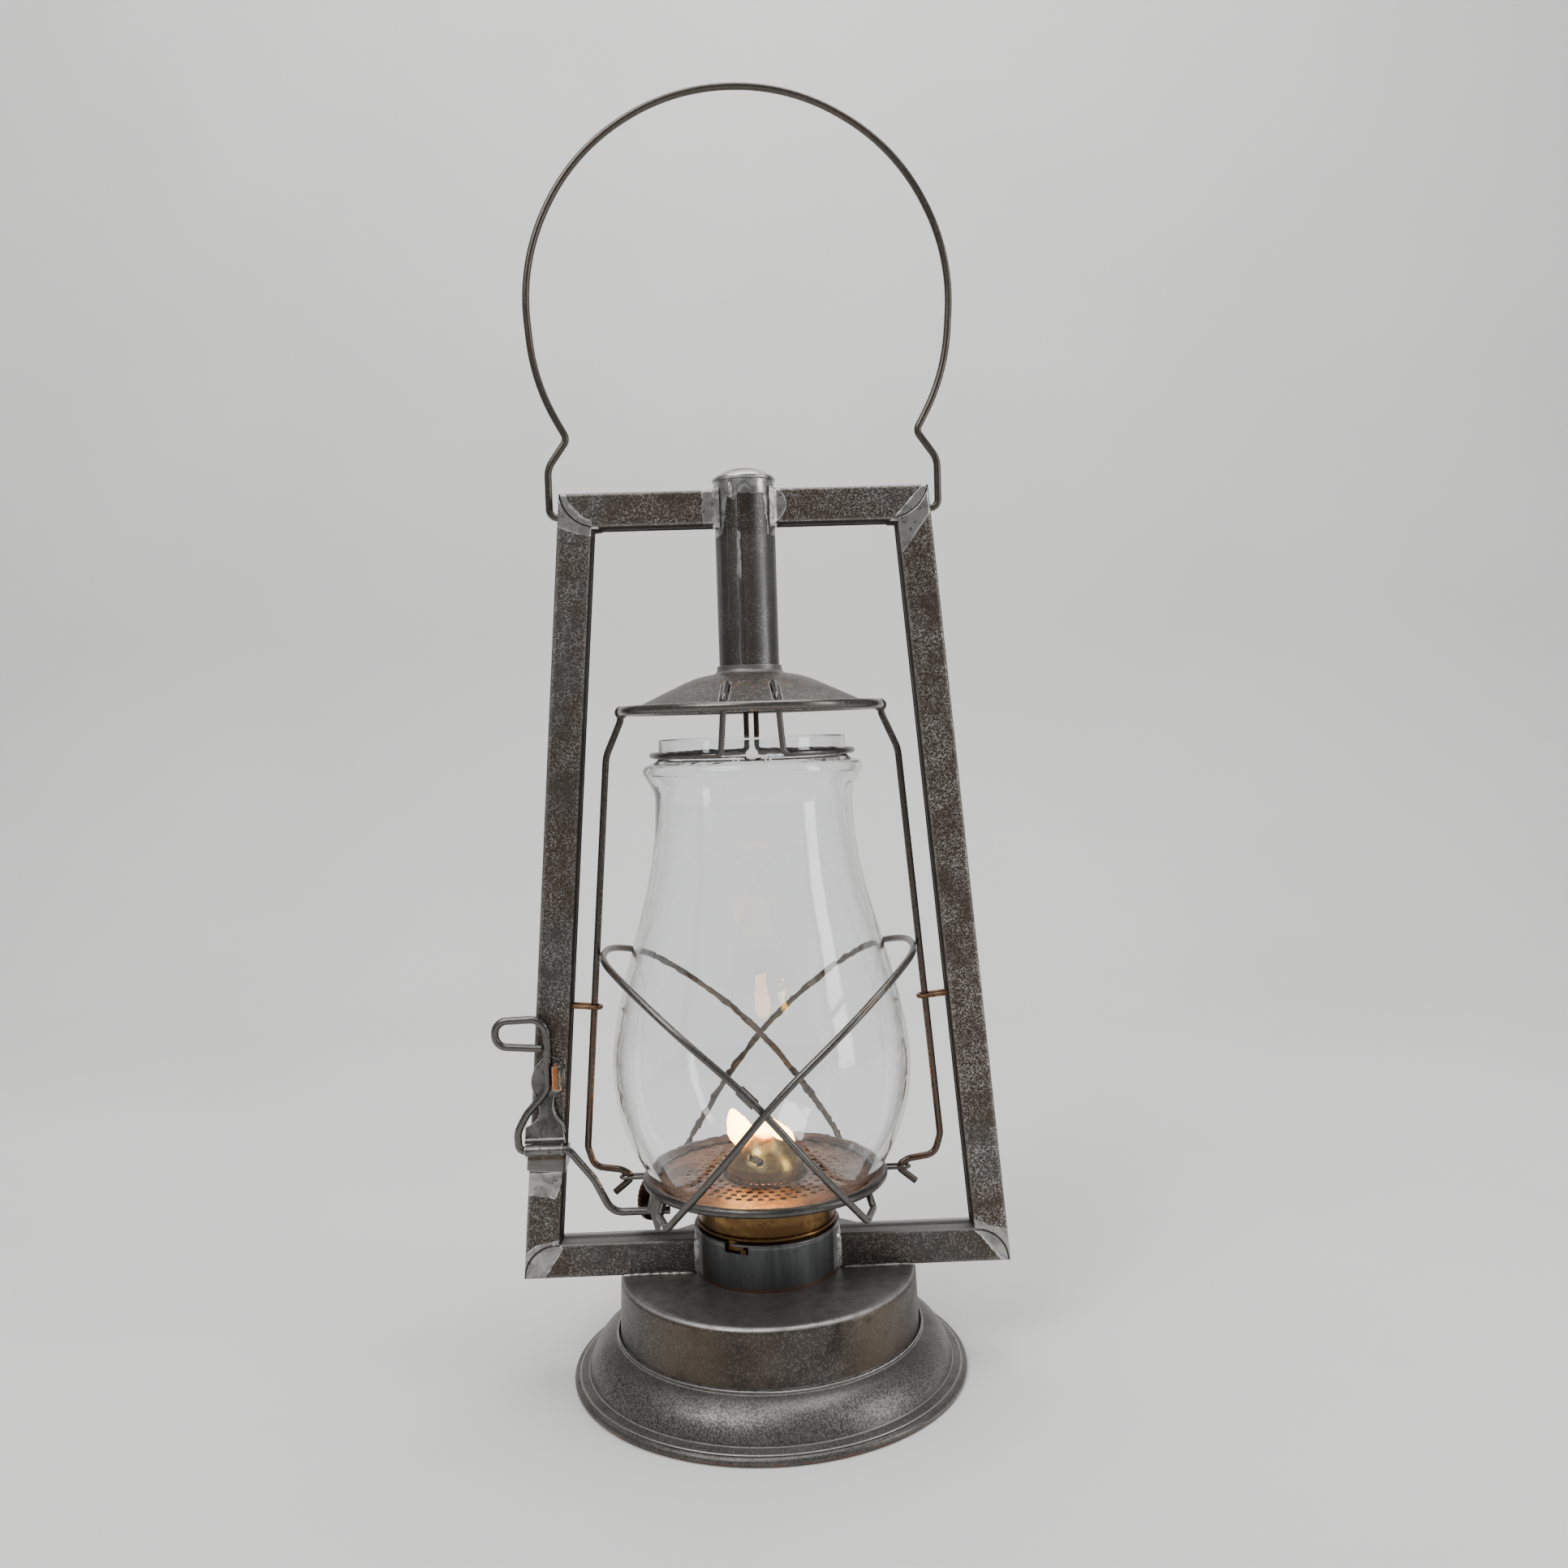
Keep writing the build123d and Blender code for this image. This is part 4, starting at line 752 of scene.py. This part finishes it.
@recipe
def rusty_rim(shader):
    """Rolled rim of the globe plate: dark grey steel with rust on its inner side."""
    blotch = shader.noise(75, 4, 0.62, 0.5)
    scuff = shader.noise(620, 3, 0.65, 0.3)
    inner = shader.step(shader.radius(), *mm(INNER_RIM))
    colour = shader.ramp(blotch, 0.40, 0.62, (0.074, 0.070, 0.064), (0.125, 0.118, 0.110))
    colour = shader.tint(colour, (0.048, 0.040, 0.034), shader.step(scuff, 0.56, 0.68), 0.6)
    colour = shader.tint(colour, (0.150, 0.082, 0.056), inner, 0.8)
    shader.surface(colour, 0.85, shader.step(scuff, 0.35, 0.65, 0.32, 0.46))
    shader.bump(scuff, 0.00006, 0.6)


@recipe
def clear_glass(shader):
    """Hand-blown globe glass: clear, with painted dark reflections towards its outline, long soft waves and a
    fine ripple.
    """
    waves = shader.noise(26, 1, 0.4, 0.4, stretch=(1, 1, 0.5))
    ripple = shader.noise(260, 1, 0.4, 0.2)
    # Painted reflection: the glass colour darkens to brown towards its outline.
    rim = shader.step(shader.grazing(), 0.62, 0.94)
    shader.surface(shader.mix(rim, (0.97, 0.985, 0.98), (0.27, 0.245, 0.212)), 0.0, 0.012)
    shader.bsdf.inputs["Transmission Weight"].default_value = 1.0
    shader.bsdf.inputs["IOR"].default_value = 1.47
    shader.bump(shader.scaled(ripple, 0.035, waves), 0.0030, 0.30)


@recipe
def cotton(shader):
    """Woven wick, charred at its top."""
    top = box("wick")[1].z
    weave = shader.noise(900, 2, 0.5, 0.2, stretch=(1, 1, 0.4))
    char = shader.step(shader.axis("Z"), top - 6 * MM, top - 1 * MM)
    colour = shader.mix(weave, (0.55, 0.50, 0.40), (0.75, 0.71, 0.60))
    shader.surface(shader.mix(char, colour, (0.012, 0.010, 0.009)), 0.0, 0.9)
    shader.bump(weave, 0.0002, 0.9)


@recipe
def cork(shader):
    """Pressed cork washer."""
    grains = shader.cells(650)
    colour = shader.ramp(grains, 0.1, 0.6, (0.30, 0.18, 0.09), (0.50, 0.34, 0.19))
    shader.surface(colour, 0.0, 0.85)
    shader.bump(grains, 0.0002, 0.8)


# Faces that get painted shade, and upper faces that are painted lighter, for the tube finishes.
INNER_OF_LEFT, INNER_OF_RIGHT = ("X", 1), ("X", -1)
ABOVE, BELOW = ("Z", 1), ("Z", -1)

MATERIALS = {
    "post_left": tube_tin(
        "post_left_tin", 1.3, 0.75, 0.66, ("top_left", "low_left", "strap"), (INNER_OF_LEFT,)),
    "post_right": tube_tin(
        "post_right_tin", 4.1, 0.45, 1.00, ("top_right", "low_right"), (INNER_OF_RIGHT,)),
    "low_left": tube_tin(
        "low_left_tin", 7.7, 0.80, 0.50, ("low_left",), (BELOW,), (ABOVE,)),
    "low_right": tube_tin(
        "low_right_tin", 9.2, 0.85, 0.46, ("low_right",), (BELOW,), (ABOVE,)),
    "top_left": tube_tin(
        "top_left_tin", 2.9, 0.70, 0.66, ("top_left", "chimney_left"), (BELOW,), (ABOVE,)),
    "top_right": tube_tin(
        "top_right_tin", 6.4, 0.60, 0.80, ("top_right", "chimney_right"), (BELOW,), (ABOVE,)),
    "chimney": chimney_tin("chimney_tin"),
    "cap": chimney_cap_tin("chimney_cap_tin"),
    "canopy": dusty_dome("canopy_tin"),
    "drum": drum_tin("drum_tin"),
    "fount": fount_tin("fount_tin"),
    "skirt": skirt_tin("skirt_tin"),
    "solder": solder("bright_solder"),
    "cream": solder("cream_solder", (0.26, 0.247, 0.22), (0.46, 0.44, 0.40), (0.13, 0.115, 0.095)),
    "wire": wire("satin_wire", back=0.75),
    "rim_wire": wire("canopy_rim_wire", base=(0.105, 0.096, 0.086), warmth=0.4),
    "guide": wire("guide_wire_steel", base=(0.080, 0.070, 0.061), rust=(70, 150, 0.45)),
    "bail": wire("bail_wire_steel", base=(0.082, 0.071, 0.060), warmth=0.5, rough=0.30),
    "lever": wire("lever_wire_steel", base=(0.115, 0.108, 0.100), warmth=0.2),
    "rim": rusty_rim("plate_rim_steel"),
    "strap": strap_steel("strap_steel"),
    "latch": latch_steel("latch_steel"),
    "copper": brass("aged_copper", bright=(0.27, 0.150, 0.078), dull=(0.13, 0.070, 0.040), amount=0.6),
    "brass": brass("aged_brass", amount=0.75),
    "cone": cone_brass("cone_brass"),
    "cup": brass("cup_brass", bright=(0.30, 0.185, 0.062), dull=(0.13, 0.070, 0.028), amount=0.45),
    "knob": brass("tarnished_brass", bright=(0.17, 0.090, 0.036), dull=(0.065, 0.036, 0.020), amount=0.3),
    "plate": rusty_plate("rusty_plate"),
    "glass": clear_glass("globe_glass"),
    "wick": cotton("wick_cotton"),
    "cork": cork("cork"),
}

FINISH = {
    "fount": ["fount_shell", "fount_collar", "filler_neck", "filler_cap"],
    "skirt": ["base_skirt", "fount_bottom"],
    "drum": ["burner_drum"],
    "post_left": ["side_tube_left"],
    "post_right": ["side_tube_right"],
    "low_left": ["lower_tube_left"],
    "low_right": ["lower_tube_right"],
    "top_left": ["top_tube_left"],
    "top_right": ["top_tube_right"],
    "chimney": ["chimney_tube"],
    "cap": ["chimney_cap"],
    "canopy": ["canopy"],
    "solder": ["solder_joints"],
    "rim_wire": ["canopy_rim"],
    "wire": ["plate_eye_left", "plate_eye_right", "lift_bracket", "guard_wire_a", "guard_wire_b",
             "guard_ferrule", "retainer_wire_left", "retainer_wire_right"],
    "guide": ["guide_wire_left", "guide_wire_right"],
    "bail": ["bail_wire"],
    "lever": ["lever_wire"],
    "rim": ["plate_rim"],
    "strap": ["lever_strap"],
    "latch": ["lever_latch"],
    "copper": ["guide_staple_left", "guide_staple_right"],
    "brass": ["wick_tube"],
    "cone": ["burner_cone"],
    "cup": ["burner_cup"],
    "knob": ["wick_shaft", "wick_knob", "wick_sprockets", "burner_pins"],
    "plate": ["globe_plate"],
    "glass": ["globe_glass"],
    "wick": ["wick"],
    "cork": ["filler_gasket"],
}
for finish, nodes in FINISH.items():
    for node in nodes:
        piece = bpy.data.objects[node]
        piece.data.materials.clear()
        piece.data.materials.append(MATERIALS[finish])


# ---------------------------------------------------------------- extra pieces of the frame
def shown(name, build, material):
    """Turn a bmesh into a smooth object of one material."""
    mesh = bpy.data.meshes.new(name)
    build.to_mesh(mesh)
    build.free()
    for polygon in mesh.polygons:
        polygon.use_smooth = True
    mesh.materials.append(material)
    obj = bpy.data.objects.new(name, mesh)
    bpy.context.collection.objects.link(obj)
    return obj


def add_piece(name, build, finish, body="frame"):
    """Show a bmesh as a piece that moves with a CAD body."""
    bmesh.ops.recalc_face_normals(build, faces=build.faces)
    obj = shown(name, build, MATERIALS[finish])
    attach(obj, body)


def skin(build, loops):
    """Close a row of equal loops of vertices into a capped tube."""
    for lower, upper in zip(loops, loops[1:]):
        for j in range(len(lower)):
            k = (j + 1) % len(lower)
            build.faces.new((lower[j], lower[k], upper[k], upper[j]))
    build.faces.new(loops[0][::-1])
    build.faces.new(loops[-1])


def curve_point(before, start, end, after, t):
    """Point on the smooth curve through four neighbouring points."""
    return tuple(
        0.5 * (2 * b + (c - a) * t + (2 * a - 5 * b + 4 * c - d) * t * t + (3 * b - a - 3 * c + d) * t ** 3)
        for a, b, c, d in zip(before, start, end, after)
    )


def smooth_path(points, steps):
    """Points along the smooth curve through the given ones, so many steps from each to the next."""
    path = []
    for i in range(len(points) - 1):
        before, after = points[max(i - 1, 0)], points[min(i + 2, len(points) - 1)]
        for k in range(steps):
            path.append(curve_point(before, points[i], points[i + 1], after, k / steps))
    path.append(points[-1])
    return path


RUN_SIDES = 10
RUN_PITCH = 0.55                 # length of a solder run between two rings (mm)
LUMPS = ((1, 17, 0.10), (3, 41, 0.07))   # waves on a run: seed factor, radians in 10 mm, height


def lumpy_run(build, start, end, thick, seed):
    """Bead of solder along a straight line (mm), uneven in thickness and closed at both ends."""
    start, end = Vector(start) * MM, Vector(end) * MM
    along = end - start
    count = max(6, int(along.length / (RUN_PITCH * MM)))
    if abs(along.normalized().z) < 0.9:
        level = along.cross(Vector((0, 0, 1))).normalized()
    else:
        level = Vector((0, 1, 0))
    upright = level.cross(along).normalized()
    rings = []
    for i in range(count + 1):
        t = i / count
        lumps = 1
        for factor, waves, tall in LUMPS:
            lumps += tall * math.sin(seed * factor + waves * t * along.length / (10 * MM))
        taper = min(1.0, 0.25 + 5 * min(t, 1 - t)) ** 0.5
        radius = thick * MM * lumps * taper
        middle = start + along * t + level * (0.10 * thick * MM * math.sin(seed + 9 * t))
        ring = []
        for j in range(RUN_SIDES):
            angle = 2 * math.pi * j / RUN_SIDES
            outward = math.cos(angle) * level + math.sin(angle) * upright
            ring.append(build.verts.new(middle + radius * outward))
        rings.append(ring)
    skin(build, rings)


# Solder runs (mm). On the fount: from and to x, distance from the middle plane, height and thickness.
FOUNT_RUN = (28.5, 55.6, 6.7, 39.1, 0.72)
CORNER_X = ((-1, -79.3, -57.6), (1, 79.4, 57.4))    # side, x of its lower and of its upper corner
# Down the chimney: x, depth in front of the middle plane, low end, high end, thickness.
CHIMNEY_RUNS = (
    (-9.7, 6.4, 321.5, 334.0, 0.55),
    (9.7, 6.4, 321.5, 334.0, 0.55),
    (-5.2, math.sqrt(11.2 ** 2 - 5.2 ** 2), 330.5, 336.5, 0.9),
)


def solder_beads():
    """Solder runs where the lower tubes meet the fount, at the mitred corners and down the chimney."""
    build = bmesh.new()
    near, far, deep, up, thick = FOUNT_RUN
    for side in (-1, 1):
        for front in (-1, 1):
            start, end = (side * near, front * deep, up), (side * far, front * deep, up)
            lumpy_run(build, start, end, thick, side + 2 * front)
    add_piece("fount_solder_runs", build, "cream")

    build = bmesh.new()
    for side, low, high in CORNER_X:
        for front in (-1, 1):
            start, end = (low - side * 0.2, front * 5.9, 52.0), (low + side * 2.6, front * 6.35, 51.9)
            lumpy_run(build, start, end, 0.55, side + front)
            start, end = (high, front * 6.1, 321.4), (high - side * 3.4, front * 6.2, 321.5)
            lumpy_run(build, start, end, 0.42, 2 * side + front)
    for x, deep, low, high, thick in CHIMNEY_RUNS:
        lumpy_run(build, (x, -deep, low), (x, -deep, high), thick, x)
    add_piece("joint_solder_runs", build, "solder")


# Free edge of the latch leaf (x and z in mm), which curls forward from the leaf's front.
LIP_PATH = [
    (-75.4, 95.2), (-75.7, 98.4), (-76.8, 100.6), (-78.4, 103.2), (-78.9, 107.0), (-78.3, 110.0),
    (-76.9, 112.6), (-75.6, 114.6), (-75.1, 118.4), (-75.6, 121.8), (-77.2, 123.6),
]
LEAF_FRONT = -7.2
LIP_REACH, LIP_END = 2.0, 0.3    # how far the lip stands forward at most, and at its top end


def latch_lip():
    """Curled right edge of the latch leaf, standing forward of it."""
    path = smooth_path(LIP_PATH, 5)
    build = bmesh.new()
    rings = []
    for i, (x, z) in enumerate(path):
        ahead, behind = path[min(i + 1, len(path) - 1)], path[max(i - 1, 0)]
        run = Vector((ahead[0] - behind[0], 0, ahead[1] - behind[1])).normalized()
        side = Vector((run.z, 0, -run.x))
        t = i / (len(path) - 1)
        reach = LIP_END
        if t < 1:
            reach = LIP_REACH * math.sin(math.pi * (0.15 + 0.85 * t) ** 0.8) ** 0.6
        bend = -0.75 * reach
        section = ((0.3, 0.30), (bend, 0.34), (-reach, 0.10), (-reach, -0.16), (bend, -0.34), (0.3, -0.30))
        ring = []
        for depth, wide in section:
            corner = Vector((x, LEAF_FRONT, z)) + side * wide + Vector((0, depth, 0))
            ring.append(build.verts.new(corner * MM))
        rings.append(ring)
    skin(build, rings)
    add_piece("latch_lip", build, "latch")


solder_beads()
latch_lip()


# ---------------------------------------------------------------- flame (staged: not part of the object)
# Ragged lobes of the flame: centre x, height and half width (mm).
LEFT_LOBE = [
    (-5.4, 85.0, 3.6), (-7.0, 87.6, 5.2), (-8.4, 90.6, 5.4),
    (-9.8, 93.8, 4.4), (-11.2, 97.2, 2.6), (-12.2, 99.8, 0.5),
]
RIGHT_LOBE = [
    (10.2, 81.0, 0.6), (9.8, 84.6, 1.9), (8.0, 88.0, 3.4),
    (5.4, 91.0, 4.3), (2.6, 93.8, 3.6), (0.4, 96.4, 0.9),
]
BRIDGE = [(-3.6, 86.5, 3.4), (-2.0, 89.2, 5.4), (-0.4, 91.4, 5.0), (0.6, 93.6, 2.2)]
FLAME_SIDES = 24
FLAME_THICK = 0.45               # depth of a lobe over its width
FLAME_SLANT = 0.35               # how much further back a lobe's right side lies
THINNEST = 0.3                   # half width that no part of a lobe goes under (mm)
HOT_HEIGHTS = (84, 91)           # the glow grows to white heat between these heights (mm)


@recipe
def flame_glow(shader):
    """Orange glow, yellow and strongest in the flame's core."""
    tongue = shader.noise(240, 2, 0.5, 0.3)
    up = shader.scaled(tongue, 3 * MM, shader.axis("Z"))
    core = shader.step(shader.grazing(), 0.72, 0.22)
    hot = shader.times(core, shader.step(up, *mm(HOT_HEIGHTS)))
    shader.link(shader.mix(hot, (1.0, 0.26, 0.022), (1.0, 0.58, 0.15)), shader.bsdf.inputs["Emission Color"])
    shader.link(shader.step(hot, 0.0, 0.8, 3.5, 100.0), shader.bsdf.inputs["Emission Strength"])
    shader.surface((1.0, 0.80, 0.45), 0.0, 1.0)


def flame():
    """Flame over the wick, as a glowing shell."""
    build = bmesh.new()
    for lobe in (LEFT_LOBE, RIGHT_LOBE, BRIDGE):
        loops = []
        for x, z, wide in smooth_path(lobe, 6):
            wide = max(THINNEST, wide)
            loop = []
            for j in range(FLAME_SIDES):
                angle = 2 * math.pi * j / FLAME_SIDES
                across, deep = wide * math.cos(angle), FLAME_THICK * wide * math.sin(angle)
                loop.append(build.verts.new(Vector((x + across, deep + FLAME_SLANT * across, z)) * MM))
            loops.append(loop)
        skin(build, loops)
    obj = shown("flame", build, flame_glow("flame_glow"))


def flame_light():
    """Faint warm light over the burner, unseen itself."""
    lamp = bpy.data.lights.new("flame_light", "POINT")
    lamp.energy = 0.075
    lamp.color = (1.0, 0.40, 0.08)
    lamp.shadow_soft_size = 4.5 * MM
    obj = bpy.data.objects.new("flame_light", lamp)
    obj.location = (0, 0, box("burner_cone")[1].z + 8 * MM)
    obj.visible_camera = False
    obj.visible_transmission = False
    bpy.context.collection.objects.link(obj)


flame()
flame_light()


# ---------------------------------------------------------------- stage, lights and camera
def stage():
    """Pale floor that curves up into a backdrop."""
    width, near, far, bend, tall = 3.2, -2.4, 0.95, 0.35, 2.6
    steps = 12
    profile = [(near, 0.0), (far - bend, 0.0)]
    for i in range(1, steps + 1):
        angle = math.pi / 2 * i / steps
        profile.append((far - bend + bend * math.sin(angle), bend - bend * math.cos(angle)))
    profile.append((far, tall))
    build = bmesh.new()
    rails = [[build.verts.new((x, y, z)) for y, z in profile] for x in (-width, width)]
    for i in range(len(profile) - 1):
        build.faces.new((rails[0][i], rails[1][i], rails[1][i + 1], rails[0][i + 1]))
    shader = Shader("studio_pale")
    tone = shader.noise(5, 3, 0.5)
    shader.surface(shader.mix(tone, (0.60, 0.60, 0.59), (0.68, 0.675, 0.665)), 0.0, 0.85)
    obj = shown("studio_floor", build, shader.material)


# Area lights: name, place, aim, width and height (m), power (W).
LIGHTS = (
    ("key_light", (-0.75, -1.0, 1.5), (0, 0, 0.2), (0.9, 0.9), 24),
    ("top_light", (0.15, 0.05, 1.6), (0, 0, 0.2), (1.2, 1.0), 16),
    ("side_light", (1.25, -0.55, 0.55), (0, 0, 0.2), (0.35, 1.1), 9),
    ("backdrop_light", (0, 0.1, 1.9), (0, 0.9, 0.5), (2.2, 0.5), 14),
)
AIR_COLOUR, AIR_STRENGTH = (0.92, 0.95, 1.0, 1), 0.26


def lights():
    for name, place, aim, size, power in LIGHTS:
        lamp = bpy.data.lights.new(name, "AREA")
        lamp.shape = "RECTANGLE"
        lamp.size, lamp.size_y = size
        lamp.energy = power
        obj = bpy.data.objects.new(name, lamp)
        obj.location = place
        obj.rotation_euler = (Vector(aim) - Vector(place)).to_track_quat("-Z", "Y").to_euler()
        bpy.context.collection.objects.link(obj)
    world = bpy.data.worlds.new("studio_air")
    bpy.context.scene.world = world
    world.use_nodes = True
    background = world.node_tree.nodes["Background"]
    background.inputs["Color"].default_value = AIR_COLOUR
    background.inputs["Strength"].default_value = AIR_STRENGTH


CAMERA_PLACE = (-0.00016, -0.51176, 0.24613)
CAMERA_TURN = (1.329, -2.492, -1.771)    # yaw, pitch and roll (degrees)
LENS, SENSOR = 30.93, 36.0               # focal length and width of the film (mm)


def camera():
    """Camera at eye height in front of the lantern, turned a little to the right and rolled."""
    yaw, pitch, roll = (math.radians(angle) for angle in CAMERA_TURN)
    forward = Vector((math.sin(yaw) * math.cos(pitch), math.cos(yaw) * math.cos(pitch), math.sin(pitch)))
    level = Vector((math.cos(yaw), -math.sin(yaw), 0))
    upright = level.cross(forward)
    right = math.cos(roll) * level + math.sin(roll) * upright
    up = math.cos(roll) * upright - math.sin(roll) * level
    lens = bpy.data.cameras.new("camera")
    lens.sensor_width = SENSOR
    lens.lens = LENS
    lens.clip_start = 0.01
    obj = bpy.data.objects.new("camera", lens)
    turn = Matrix((right, up, -forward)).transposed().to_4x4()
    obj.matrix_world = Matrix.Translation(CAMERA_PLACE) @ turn
    bpy.context.collection.objects.link(obj)
    bpy.context.scene.camera = obj


stage()
lights()
camera()
